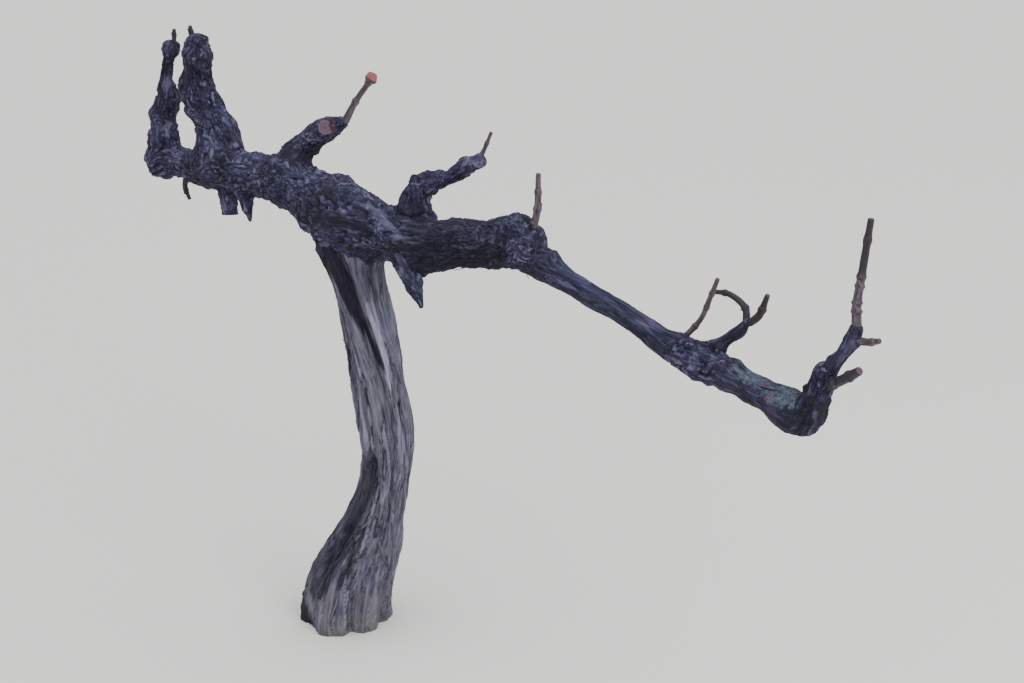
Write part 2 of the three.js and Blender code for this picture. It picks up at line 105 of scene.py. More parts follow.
# Boughs, as their solids have them: joints of the middle line, radii along it, and knots as share of the
# length, bearing in degrees, height and half length
BOUGHS = {
    "left_arm": {
        "joints": (
            (24, -2, 661), (-80, 10, 684), (-154, 14, 689), (-247, 20, 686), (-340, 27, 677), (-440, 34, 664),
        ),
        "radii": (42, 38, 33, 28, 24, 19),
        "knots": ((0.3, 60, 7, 26), (0.52, 280, 9, 26), (0.78, 300, 6, 20), (0.93, 120, 7, 20)),
    },
    "left_outer_spur": {
        "joints": ((-431, 33, 668), (-434, 40, 706), (-438, 46, 732), (-436, 52, 762)),
        "radii": (21, 21, 19, 14),
        "knots": ((0.35, 90, 5, 12), (0.75, 270, 6, 11), (0.95, 90, 8, 12)),
    },
    "left_outer_tip": {
        "joints": ((-434, 54, 762), (-436, 57, 799), (-432, 57, 825), (-416, 55, 850)),
        "radii": (13, 10, 10, 13),
        "knots": ((0.85, 250, 4, 9), (0.08, 90, 9, 13)),
    },
    "left_inner_spur": {
        "joints": ((-284, 22, 690), (-281, 18, 739), (-289, 12, 770), (-301, 5, 800)),
        "radii": (32, 30, 27, 21),
        "knots": ((0.35, 90, 7, 20), (0.7, 190, 6, 16), (0.82, 270, 12, 14)),
    },
    "left_inner_tip": {
        "joints": ((-301, 5, 796), (-298, -1, 832), (-294, -3, 857), (-290, -4, 882)),
        "radii": (20, 20, 22, 18),
        "knots": ((0.2, 330, 4, 9), (0.7, 90, 5, 13), (0.8, 250, 5, 10)),
    },
    "left_hanging_stub": {
        "joints": ((-252, 14, 672), (-248, 9, 646), (-243, 4, 619)),
        "radii": (17, 15, 13),
        "knots": ((0.6, 0, 3, 9),),
        "sawn": True,
    },
    "left_bark_snag": {
        "joints": ((-216, 12, 668), (-204, 4, 646), (-190, -2, 621)),
        "radii": (14, 10, 4),
        "knots": (),
        "ragged": True,
    },
    "top_spur": {
        "joints": ((-124, 14, 706), (-112, 22, 730), (-92, 34, 756), (-63, 42, 774), (-36, 46, 789)),
        "radii": (23, 21, 18, 16, 11),
        "knots": ((0.5, 90, 5, 9),),
    },
    "top_spur_cut": {
        "joints": ((-76, 43, 770), (-64, 34, 776), (-50, 24, 784)),
        "radii": (13, 13, 11),
        "knots": (),
        "sawn": True,
    },
    "right_arm": {
        "joints": (
            (8, -4, 656), (88, -2, 659), (134, -4, 658), (217, -6, 666), (287, -4, 680), (326, 0, 692),
            (356, 2, 688),
        ),
        "radii": (45, 38, 35, 32, 32, 34, 28),
        "knots": (
            (0.42, 80, 8, 22), (0.55, 270, 5, 20), (0.7, 95, 5, 16), (0.88, 275, 9, 15), (0.93, 340, 7, 12),
        ),
        # A rope of live wood over the front of the arm's root: shares, bearings, half width, height
        "rope": ((0.1, 0.28, 0.42), (286, 330, 372), 11, 6),
    },
    "right_spur": {
        "joints": ((150, 6, 672), (141, 14, 706), (144, 22, 729)),
        "radii": (21, 20, 16),
        "knots": ((0.6, 270, 5, 12),),
    },
    "right_spur_tip": {
        "joints": ((140, 21, 728), (166, 28, 743), (188, 32, 749), (217, 36, 769), (237, 40, 781)),
        "radii": (14, 12, 11, 13, 10),
        "knots": ((0.35, 90, 4, 8), (0.75, 270, 4, 9)),
    },
    "hanging_snag": {
        "joints": ((142, -18, 650), (160, -29, 630), (178, -35, 608), (195, -38, 577)),
        "radii": (18, 17, 14, 4),
        "knots": (),
    },
    "cordon": {
        "joints": (
            (346, 2, 684), (368, 3, 672), (410, 6, 655), (502, 8, 629), (595, 4, 603), (622, 2, 597),
        ),
        "radii": (23, 20, 17, 15, 16, 16),
        "knots": ((0.3, 260, 3, 20), (0.75, 80, 3, 18)),
    },
    "cordon_knot": {
        "joints": ((612, 2, 600), (646, 1, 593), (676, -1, 590)),
        "radii": (17, 24, 18),
        "knots": ((0.4, 320, 6, 10), (0.6, 160, 6, 9), (0.5, 60, 5, 9)),
    },
    "knot_spur": {
        "joints": ((648, 4, 604), (666, 14, 622), (690, 22, 647), (695, 22, 654)),
        "radii": (10, 9, 7, 6),
        "knots": ((0.55, 90, 3, 8),),
    },
    "cordon_end": {
        "joints": ((668, 0, 590), (713, -4, 583), (744, -7, 576), (772, -9, 570), (802, -11, 563)),
        "radii": (16, 17, 21, 24, 21),
        "knots": ((0.3, 90, 3, 12), (0.75, 200, 4, 14)),
    },
    "end_spur": {
        "joints": ((802, -11, 558), (816, -12, 582), (826, -14, 610), (829, -14, 634)),
        "radii": (19, 17, 14, 12),
        "knots": ((0.5, 270, 3, 10), (0.8, 60, 4, 9)),
    },
    "end_spur_tip": {
        "joints": ((828, -14, 622), (846, -12, 652), (859, -10, 674), (866, -10, 694)),
        "radii": (10, 9, 9, 9),
        "knots": ((0.75, 60, 3, 7),),
    },
}

# Cut-back canes of last summer: joints of the middle line and radii along it, a knob's radius, and how far
# along the bark starts to take the darker damp and painted-shade colours
CANES = {
    "twigs_left_hook": {
        "joints": ((-363, 25, 655), (-365, 22, 637), (-354, 20, 620)), "radii": (5, 4, 3), "damp": 0,
    },
    "twigs_left_outer": {
        "joints": ((-414, 55, 854), (-410, 54, 866), (-408, 53, 878)), "radii": (4.5, 3.5, 3), "damp": 0,
    },
    "twigs_left_inner": {
        "joints": ((-298, -4, 884), (-302, -4, 895), (-303, -5, 905)), "radii": (5, 4, 3), "damp": 0,
    },
    "twigs_top_spur": {
        "joints": ((-30, 48, 793), (-14, 54, 824), (2, 60, 848), (10, 62, 860)),
        "radii": (6, 4.5, 4.5, 5),
        "knob": 9,
    },
    "twigs_right_spur": {"joints": ((236, 41, 784), (243, 43, 799), (252, 45, 821)), "radii": (4, 3, 2.5)},
    "twigs_right_arm": {"joints": ((356, 5, 704), (366, 6, 738), (366, 8, 790)), "radii": (5.5, 5, 3.5)},
    "twigs_cordon": {
        "joints": ((606, 8, 612), (630, 14, 645), (640, 16, 672), (651, 16, 702)),
        "radii": (4, 3.5, 3.5, 3),
    },
    "twigs_knot_left": {
        "joints": ((692, 25, 650), (685, 31, 668), (658, 36, 679), (634, 38, 677)),
        "radii": (5, 4.5, 4, 3),
        "damp": 0,
    },
    "twigs_knot_right": {
        "joints": ((699, 22, 654), (713, 20, 668), (724, 18, 696)), "radii": (5, 5, 3.5), "damp": 0,
    },
    "twigs_end_side": {
        "joints": ((834, -18, 617), (856, -26, 629), (886, -34, 652)), "radii": (6.5, 6.5, 5.5), "damp": 0,
    },
    "twigs_end_node": {
        "joints": ((866, -11, 680), (884, -12, 682), (898, -13, 687)), "radii": (5.5, 4.5, 3.5),
    },
    "twigs_end_spur": {
        "joints": ((866, -10, 694), (863, -8, 726), (865, -6, 758), (870, -3, 828)),
        "radii": (6.5, 5.5, 5, 4),
        "damp": 100,
    },
}

# How the solids were shaped between their joints
BOUGH_WAVES = (5, (1, 4), (4, 14))
WAVE_SHARE = 0.03
ROPE_FADE = 14
KNOT_SPREAD = 1.1
RAGGED_FROM = 0.72  # share of a torn snag's length from which it thins
RAGGED_LOSS = 0.6
END_DEPTH = 0.8
ROOT_DEPTH = 0.7
SAWN_SHARE = 0.86
SAWN_CHAMFER = 2
WORN_EDGE = (0.6, 0.97)  # first step down a sawn end: shares of the chamfer and of the radius
CANE_RINGS = 9
BUD_SPACING = 24
BUD_GAP = 0.6  # share of an even step that is left past the last bud
BUD_LEAN = 0.9
BUD_REACH = (2, 0.7)  # least and spread, as shares of the cane's radius
BUD_TAPER = (1, 0.86, 0.62)
BUD_SWELLING = (0.3, 3.2)  # share that the cane swells by at a bud, and half the length of the swelling
KNOB_ENDS = (-0.8, 0.62)  # shares of a knob's radius at which it starts and ends
KNOB_TAPER = (0.7, 1, 0.8)
KNOB_FACE = 0.9  # shares of its radius along it, past which it is cut wood
FIRST_ACROSS = {"bough": (0.3, -1, 0.2), "cane": (0.2, -1, 0.3)}

# How finely the thin pieces are modelled: points round each, and millimetres between its rows
CANE_GRID = (20, 0.9)
BUD_GRID = (14, 0.8)
KNOB_GRID = (30, 0.8)
STRIP_RINGS = 9

# Bark of three ages. Plates or strips have a width, length and lift, with a crack between them where they
# have parted. Grooves and fibres have a width, length and depth or height, and lumps a size and height. All
# are in millimetres, but for the noise levels between which the strips part.
BARKS = {
    "trunk": {
        "plate": (6, 130, 1.3), "crack": 1.6, "parted": (-0.15, 0.45), "groove": (9, 190, 1.2),
        "fibre": (3.0, 70, 1.0), "lump": (46, 1.2),
    },
    "arm": {
        "plate": (8.5, 28, 1.5), "crack": 1.3, "parted": (-0.6, -0.1), "groove": (11, 60, 1.1),
        "fibre": (3.3, 15, 1.1), "lump": (20, 3.0),
    },
    "cordon": {
        "plate": (7, 42, 0.8), "crack": 0.7, "parted": (-0.5, 0.1), "groove": (7, 90, 0.8),
        "fibre": (3, 30, 0.5), "lump": (24, 1.4),
    },
}
PLATE_EDGE = (0.03, 0.4)  # where a plate's edge starts to rise and has risen, as shares of its width
CRACK_EDGE = 0.14  # the same for the side of a crack
GROOVE_EDGE = 0.16  # noise level at which a groove's side ends
FULL_BARK_RADIUS = 13  # limbs thinner than this have finer bark
LEAST_BARK = 0.2  # share of the relief that the thinnest keep
BOUGH_GRAIN_TWIST = 0.4  # how far the bark winds round a bough from root to tip, in radians
LEAST_TUBE = 0.15  # share of a limb's girth that its patterns keep where it closes
PATTERN_SHIFT = 997  # most that patterns are shifted along a limb, so that no two bear the same bark
# Fine lines in a cane's bark
CANE_LINE = (1.6, 1.6, 14)
CANE_LINE_HEIGHT = 0.25
CANE_LEAST_TUBE = 0.05
CORDON_LIMBS = ("cordon", "cordon_end", "knot_spur", "end_spur_tip")

# Live wood that has grown up between two limbs: how far it reaches as a share of the thinner one's radius and
# in millimetres more, its height as a share of that, and how far off the other limb is looked for
WEB_REACH = (1.15, 5)
WEB_HEIGHT = 0.25
WEB_SEARCH = 60
BALL_SPACING = 6
SHADED_WEB = 1.6  # height of that wood at which neither limb gets the painted sky sheen
SKY_SHEEN_SIDE = (-0.5, 1.1)  # how far up a surface faces where the painted sky sheen starts and is full

# Weathered places, the damp ones also painted shade: the middle of each in millimetres, and how far it
# reaches each way
WEATHERING = {
    "soil_splash": (((20, -10, -30), (150, 140, 130)),),
    # Damp bark and painted shade: the far part of the right arm, the feet of spurs and near the left spurs'
    # tips
    "damp": (
        ((250, -20, 662), (130, 50, 54)),
        ((143, 10, 694), (28, 34, 34)),
        ((-104, 22, 735), (34, 36, 30)),
        ((806, -14, 576), (46, 44, 46)),
        ((-294, 2, 852), (36, 40, 44)),
        ((-434, 52, 815), (18, 24, 20)),
    ),
    "bare_wood": (
        ((162, -40, 620), (15, 16, 40)),
        ((-245, 0, 630), (16, 18, 22)),
        ((-430, 52, 790), (9, 12, 24)),
        ((228, 38, 774), (24, 18, 18)),
        ((585, -4, 632), (56, 18, 12)),
    ),
    "dead_wood": (),
    "torn_wood": (
        ((750, -18, 597), (11, 9, 9)),
        ((762, -29, 584), (9, 9, 8)),
        ((-48, 34, 784), (15, 13, 11)),
    ),
    "lichen": (
        ((726, -14, 602), (34, 20, 14)),
        ((782, -22, 590), (30, 22, 18)),
        ((70, 60, 150), (40, 40, 100)),
    ),
}

# Weathered bands that run along a limb: how strong each is, and its distance along the limb, bearing in
# degrees and half width at places from its foot or root upwards
BANDS = {
    "trunk": {
        # Damp bark and painted shade: all round under the head where the arms leave it, a weaker patch below
        # the right arm, in the deep cleft, along a thin line lower down, and down the shaded left flank to
        # the foot
        "damp": (
            (0.9, ((655, 0, 400), (700, 0, 400))),
            (0.35, ((560, 345, 30), (600, 345, 60), (700, 345, 60))),
            (1.0, (
                (455, 328, 4), (484, 320, 8), (510, 309, 11), (537, 297, 16), (563, 287, 19), (590, 274, 31),
                (640, 267, 40), (696, 262, 46),
            )),
            (0.9, ((0, 238, 26), (24, 234, 22), (50, 228, 12))),
            (0.72, (
                (66, 252, 24), (85, 256, 44), (120, 262, 52), (160, 262, 50), (200, 256, 42), (240, 254, 32),
                (280, 258, 27), (316, 262, 16),
            )),
            (0.7, ((330, 368, 3), (364, 363, 3.5), (390, 350, 3.5), (415, 339, 3), (445, 331, 3))),
        ),
        "dead_wood": (
            (1.0, (
                (444, 332, 4), (466, 336, 5.5), (481, 337, 6.5), (497, 336, 8), (513, 331, 6.5),
                (536, 324, 5),
            )),
        ),
    },
    "right_arm": {
        # Painted shadow beside the rope where it leaves the head, and damp with painted shade over the far
        # part of the arm
        "damp": (
            (1.0, ((-6, 350, 14), (25, 348, 14), (50, 352, 12), (72, 360, 8))),
            (0.6, ((150, 0, 400), (320, 0, 400))),
        ),
        # A paler band along the rope: bare wood, partly a painted highlight
        "bare_wood": (
            (1.0, ((56, 310, 6), (78, 315, 9), (103, 325, 9), (124, 338, 8), (138, 350, 6))),
        ),
    },
}
BAND_FADE = 25

# How the edge of each kind runs: the size of its patches across and along the limb, how ragged it is, and how
# softly it fades
WEATHER_EDGES = {
    "soil_splash": (9, 26, 0.45, 1.0),
    "damp": (4, 50, 0.4, 0.6),
    "bare_wood": (4, 18, 0.45, 0.7),
    "dead_wood": (2.0, 40, 0.35, 0.5),
    "torn_wood": (4, 9, 0.45, 0.5),
    "lichen": (4, 5, 0.45, 0.6),
}
BARE_RELIEF = 0.5  # share of the relief that is lost where the bark has gone
CANE_DAMP_AND_SHADE_FADE = 20  # length over which a cane goes from dry to the darker damp and painted-shade colours

# Noise in the finishes: its size in millimetres across, across and along the limb, detail, roughness and
# distortion. Each finish has its own size of fibres, and of threads, which are drawn a little coarser than
# life so that they show.
BARK_NOISES = {
    "wander": ((34, 34, 80), 3.0, 0.55, 0.0),
    "mottle": ((3.2, 3.2, 4.0), 4.0, 0.7, 0.0),
    "streaks": ((1.7, 1.7, 30), 4.0, 0.65, 0.0),
    "grain": ((0.9, 0.9, 1.6), 2.0, 0.6, 0.0),
}
FIBRE_NOISE = (5.0, 0.62, 0.5)
THREAD_NOISE = (3.0, 0.6, 0.0)
CUT_NOISES = {"wobble": ((5, 5, 5), 2.0, 0.5, 0.0), "stain": ((4, 4, 4), 4.0, 0.65, 0.0)}
RING_WOBBLE = 5.0
# Strength of the bumps, and their depth in metres
GRAIN_BUMP = (0.35, 0.0008)
STRING_BUMP = 0.8
RING_BUMP = (0.5, 0.0006)

# How much each kind of weathering covers, the noise it is made of, and its two colours
WEATHER_LOOKS = {
    "soil_splash": (0.7, "mottle", ("#3b3a34", "#7b796f")),
    # Damp bark and painted shade, in each finish's own two dark colours
    "damp": (0.92, "streaks", None),
    "bare_wood": (0.4, "streaks", ("#3c3b54", "#74748f")),
    "dead_wood": (0.85, "streaks", ("#6c6a7e", "#aaa8bb")),
    "torn_wood": (0.65, "mottle", ("#36232e", "#62464f")),
    "lichen": (0.65, "mottle", ("#2b3644", "#63717f")),
}

# The finishes: the size of their fibres and threads in millimetres, the depth of their bumps in metres, the
# colours of the bark from its hollows to its worn edges, with painted shade in the cracks and a painted
# highlight on the raised edges, the painted sky sheen on what faces up, the damp colours that also paint
# shade, and how much each tells
BARK_LOOKS = {
    # Old trunk bark, shed in strings and greyed by years outdoors: dry, matt, lilac-grey over brown
    "shredding_old_vine_bark": {
        "fibre": (2.6, 2.6, 60), "fibre_depth": 0.003, "thread": (1.3, 1.3, 24), "thread_depth": 0.0014,
        "dark": "#42404f", "middle": "#626172", "light": "#7f7e90",
        "tint_low": "#544f51", "tint_high": "#a2a1b6", "tint_share": 0.4,
        "wander": "#5c5958", "wander_share": 0.4, "crack": "#1e1d27", "crack_and_shade_share": 0.8,
        "wear_and_highlight": "#9291a5", "wear_and_highlight_share": 0.4, "bleached": "#14141a",
        "damp": ("#07050d", "#1f1a2b"), "rough": (0.95, 0.85), "specular": 0.12,
    },
    # Scaly bark of the arms, near black and still damp: cool highlights from the sky on its raised edges
    "damp_scaly_vine_bark": {
        "fibre": (2.8, 2.8, 14), "fibre_depth": 0.0022, "thread": (1.5, 1.5, 10), "thread_depth": 0.0009,
        "dark": "#151224", "middle": "#2a2842", "light": "#4f4d6b",
        "tint_low": "#302836", "tint_high": "#8886ac", "tint_share": 0.5,
        "wander": "#312b3d", "wander_share": 0.4, "crack": "#070610", "crack_and_shade_share": 0.9,
        "wear_and_highlight": "#716f88", "wear_and_highlight_share": 0.5, "bleached": "#333449",
        "damp": ("#060510", "#1a182a"), "rough": (0.8, 0.6), "specular": 0.22,
    },
    # Bark of the younger cordon: thinner, tighter and smoother, with a slight sheen
    "tight_young_vine_bark": {
        "fibre": (2.6, 2.6, 30), "fibre_depth": 0.0012, "thread": (1.2, 1.2, 18), "thread_depth": 0.0008,
        "dark": "#100e20", "middle": "#201e36", "light": "#3a3856",
        "tint_low": "#272333", "tint_high": "#7371a0", "tint_share": 0.5,
        "wander": "#2f2a42", "wander_share": 0.4, "crack": "#070611", "crack_and_shade_share": 0.9,
        "wear_and_highlight": "#57556f", "wear_and_highlight_share": 0.42, "bleached": "#212239",
        "damp": ("#080714", "#1e1b30"), "rough": (0.75, 0.55), "specular": 0.25,
    },
    # Ripened bark of last summer's canes: greyish brown with fine darker lines and a soft gloss
    "ripened_cane_bark": {
        "fibre": (1.6, 1.6, 18), "fibre_depth": 0.0005, "thread": (1.0, 1.0, 14), "thread_depth": 0.0004,
        "dark": "#271f27", "middle": "#433843", "light": "#685c66",
        "tint_low": "#4b3a3a", "tint_high": "#968894", "tint_share": 0.4,
        "wander": "#3a2b33", "wander_share": 0.6, "crack": "#150e12", "crack_and_shade_share": 0.9,
        "wear_and_highlight": "#81747f", "wear_and_highlight_share": 0.4, "bleached": "#000000",
        "damp": ("#0c0812", "#2b222e"), "rough": (0.62, 0.45), "specular": 0.35,
    },
}
CUT_LOOKS = {
    # Vine wood sawn last winter: dried to a pinkish tan, darker at the heart
    "weathered_sawn_vine_wood": {
        "ring": 2.1, "late": "#483640", "early": "#584350", "heart": 5, "core": "#3c2d37", "stain": "#382a36",
    },
    # Wood cut this winter, still full of sap: orange red
    "fresh_cut_vine_wood": {
        "ring": 1.4, "late": "#743439", "early": "#8f4c4f", "heart": 3, "core": "#5c3036", "stain": "#7d464a",
    },
}

# Bark that hangs loose: limb, share of its length, bearing in degrees, run along it, width, lift and curl
LOOSE_STRIPS = (
    ("right_arm", 0.9, 300, 26, 3, 16, 0.2),
    ("cordon_end", 0.42, 320, 46, 7, 7, -0.2),
    ("right_arm", 0.62, 20, -36, 5, 7, 0.4),
    ("left_arm", 0.5, 40, 40, 6, 8, -0.3),
    ("left_arm", 0.22, 20, 46, 7, 9, 0.4),
    ("cordon", 0.12, 60, 34, 5, 8, 0.3),
)
# The rest are dealt out by seed: how many on each limb, and the least and spread of their places, runs,
# widths and lifts
LOOSE_COUNT = {
    "trunk": 70, "left_arm": 26, "right_arm": 22, "left_inner_spur": 7, "cordon": 10, "cordon_end": 5,
}
LOOSE_SHARE = (0.07, 0.78)
LOOSE_RUN = (16, 26)
LOOSE_RUN_ON_TRUNK = 1.6  # how many times longer the trunk's are
LOOSE_WIDTH = (3, 3)
LOOSE_LIFT = (1.2, 2.6)
LOOSE_DEPTH = 1.2  # how deep a strip's root lies in the bark
LOOSE_RIDGE = (0.32, 0.26)  # least and spread of how worn a strip looks, with its painted highlight
LOOSE_SHIFT = 7  # how far apart the strips lie in the pattern
LOOSE_RISE = 1.8  # power by which a strip curves away from the bark
LOOSE_ROW_STEP = 4
LOOSE_THICKNESS = 0.6
LOOSE_SECTION = ((1, 0), (0.5, 1), (-0.5, 1), (-1, 0), (-0.5, -1), (0.5, -1))

# The camera stands where the photograph was taken from, turned to the vine's middle
CAMERA_PLACE = (1.8727, -1.9017, 1.45)
CAMERA_TARGET = (0.33, 0.0, 0.546)
CAMERA_UP = (-0.2211, 0.2561, 0.941)
CAMERA_LENS = 66
FILM_WIDTH = 36

# The lights, in metres and degrees
LIT_POINT = (0.2, 0.0, 0.45)
OVERHEAD_PLACE = (0.9, -0.6, 3.6)
OVERHEAD_SPREAD = 85
SIDE_PLACE = (3.2, -0.6, 2.0)
SIDE_WIDTH = 1.8


def linear(hex_colour):
    """A hex colour as the linear red, green, blue and alpha that Blender's sockets hold."""
    parts = [int(hex_colour[i : i + 2], 16) / 255 for i in (1, 3, 5)]
    return [c / 12.92 if c <= 0.04045 else ((c + 0.055) / 1.055) ** 2.4 for c in parts] + [1.0]


def unit(vectors):
    return vectors / np.linalg.norm(vectors, axis=-1, keepdims=True)


def bell(distance, spread):
    """A share that is 1 where the distance is nothing, and fades over the spread."""
    return np.exp(-((distance / spread) ** 2))


def between(a, b):
    """The shortest angle between two bearings, in radians."""
    turn = np.abs(a - b) % WHOLE_TURN
    return np.minimum(turn, WHOLE_TURN - turn)


def ease(value, low, high):
    """A smooth step from 0 at low to 1 at high."""
    share = np.clip((value - low) / (high - low), 0, 1)
    return share * share * (3 - 2 * share)


def seeded_random(name):
    """The same stream of numbers from 0 to 1 for one named limb as its solid was made with."""
    mask = 0xFFFFFFFF
    state = 7
    for letter in name:
        state = (state * 31 + ord(letter)) & mask
    while True:
        state = (state + 0x6D2B79F5) & mask
        mixed = ((state ^ (state >> 15)) * (state | 1)) & mask
        mixed ^= (mixed + (mixed ^ (mixed >> 7)) * (mixed | 61)) & mask
        yield (mixed ^ (mixed >> 14)) / 4294967296


def seed_of(name):
    return int(next(seeded_random(name)) * 100000)


def curve_points(joints, shares):
    """Points of a centripetal Catmull-Rom curve through the joints."""
    joints = np.array(joints, float)
    padded = np.vstack([2 * joints[0] - joints[1], joints, 2 * joints[-1] - joints[-2]])
    place = np.asarray(shares) * (len(joints) - 1)
    segment = np.minimum(place.astype(int), len(joints) - 2)
    w = (place - segment)[:, None]
    p0, p1, p2, p3 = (padded[segment + i] for i in range(4))
    d0, d1, d2 = (
        np.sqrt(np.linalg.norm(b - a, axis=1, keepdims=True)) for a, b in ((p0, p1), (p1, p2), (p2, p3))
    )
    t1 = ((p1 - p0) / d0 - (p2 - p0) / (d0 + d1) + (p2 - p1) / d1) * d1
    t2 = ((p2 - p1) / d1 - (p3 - p1) / (d1 + d2) + (p3 - p2) / d2) * d1
    return p1 + t1 * w + (3 * (p2 - p1) - 2 * t1 - t2) * w**2 + (2 * (p1 - p2) + t1 + t2) * w**3


def curve_length(joints):
    points = curve_points(joints, np.linspace(0, 1, 201))
    return np.linalg.norm(np.diff(points, axis=0), axis=1).sum()


def smooth_value(values, shares):
    """A value that runs smoothly through those given at even shares of the length."""
    values = np.array(values, float)
    last = len(values) - 1
    place = np.asarray(shares) * last
    segment = np.minimum(place.astype(int), last - 1)
    w = place - segment
    p0, p1 = values[np.maximum(segment - 1, 0)], values[segment]
    p2, p3 = values[segment + 1], values[np.minimum(segment + 2, last)]
    v0, v1 = (p2 - p0) / 2, (p3 - p1) / 2
    return p1 + v0 * w + (3 * (p2 - p1) - 2 * v0 - v1) * w**2 + (2 * (p1 - p2) + v0 + v1) * w**3


def lattice(cells, seed):
    """A fixed number from 0 to 1 for each whole-numbered cell."""
    x, y, z = (cells[:, i].astype(np.uint64) for i in range(3))
    mask = np.uint64(0xFFFFFFFF)
    mixed = x * np.uint64(73856093) ^ y * np.uint64(19349663) ^ z * np.uint64(83492791)
    mixed = (mixed ^ np.uint64(seed * 2654435761 % 4294967296)) & mask
    mixed = ((mixed ^ (mixed >> np.uint64(15))) * np.uint64(2246822519)) & mask
    mixed = ((mixed ^ (mixed >> np.uint64(13))) * np.uint64(3266489917)) & mask
    return (mixed ^ (mixed >> np.uint64(16))) / 4294967296


def noise(points, seed):
    """Smooth noise from 0 to 1, with one bump or hollow to each unit of length."""
    base = np.floor(points)
    part = points - base
    part = part * part * (3 - 2 * part)
    cells = base.astype(np.int64)
    total = np.zeros(len(points))
    for corner in itertools.product((0, 1), repeat=3):
        weight = np.prod(np.where(corner, part, 1 - part), axis=1)
        total += weight * lattice(cells + np.array(corner), seed)
    return total


def layered(points, seed, layers=3):
    """Noise with finer noise over it, from -1 to 1."""
    total = np.zeros(len(points))
    height = 1.0
    for layer in range(layers):
        total += height * (2 * noise(points * 2**layer, seed + 17 * layer) - 1)
        height /= 2
    return total


def plates(points, seed):
    """How far each point is from its plate's edge, where it lies in the plate, and the plate's own number."""
    base = np.floor(points).astype(np.int64)
    nearest = np.full(len(points), 9.0)
    second = nearest.copy()
    offset = np.zeros_like(points)
    own = np.zeros(len(points))
    for step in itertools.product((-1, 0, 1), repeat=3):
        cell = base + np.array(step)
        middle = cell + np.stack([lattice(cell, seed + i) for i in range(3)], axis=1)
        away = points - middle
        distance = np.linalg.norm(away, axis=1)
        closer = distance < nearest
        second = np.where(closer, nearest, np.minimum(second, distance))
        nearest = np.where(closer, distance, nearest)
        offset[closer] = away[closer]
        own[closer] = lattice(cell[closer], seed + 3)
    return second - nearest, offset, own


def bark(straight, kind, seed, depth):
    """The bark's height over an even surface, its ridges and hollows from 1 to 0, and each plate's tone.

    Each pattern adds a number of its own to the limb's seed.
    """
    sizes = BARKS[kind]
    width, length, lift = sizes["plate"]
    wander = np.stack(
        [layered(straight / (2 * width, 2 * width, 0.7 * length), seed + i, 3) for i in (1, 2, 3)], axis=1
    )
    bent = straight + wander * (width, width, 0.5 * length)
    edge, offset, own = plates(bent / (width, width, length), seed + 11)
    # Each plate is as high and as tilted as its own number says
    tilt = (own * 7 % 1 - 0.5) * offset[:, 2] + (own * 13 % 1 - 0.5) * offset[:, 0]
    strip = lift * (ease(edge, *PLATE_EDGE) * (0.35 + 0.65 * own) + 0.9 * tilt)
    parted = ease(layered(bent / (2 * width, 2 * width, length), seed + 61, 2), *sizes["parted"])
    hollow = parted * (1 - ease(edge, 0.0, CRACK_EDGE))
    groove_width, groove_length, groove_depth = sizes["groove"]
    line = layered(bent / (groove_width, groove_width, groove_length), seed + 53, 3)
    groove = 1 - ease(np.abs(line), 0.0, GROOVE_EDGE)
    fibre_width, fibre_length, fibre_height = sizes["fibre"]
    fibre = layered(bent / (fibre_width, fibre_width, fibre_length), seed + 23, 2)
    lump_size, lump_height = sizes["lump"]
    lump = lump_height * layered(straight / lump_size, seed + 41, 3)
    fine = strip - sizes["crack"] * hollow - groove_depth * groove + fibre_height * fibre
    # How raised each point is: raised places take the wear colour with a painted highlight, hollows the
    # cracks' painted shade
    wear_and_highlight = np.clip(0.5 + 0.5 * tilt + 0.3 * fibre + 0.3 * (own - 0.5), 0, 1)
    ridge = wear_and_highlight * (1 - 0.9 * hollow) * (1 - 0.5 * groove)
    return depth * (fine - 0.4 * lift) + lump, ridge, own


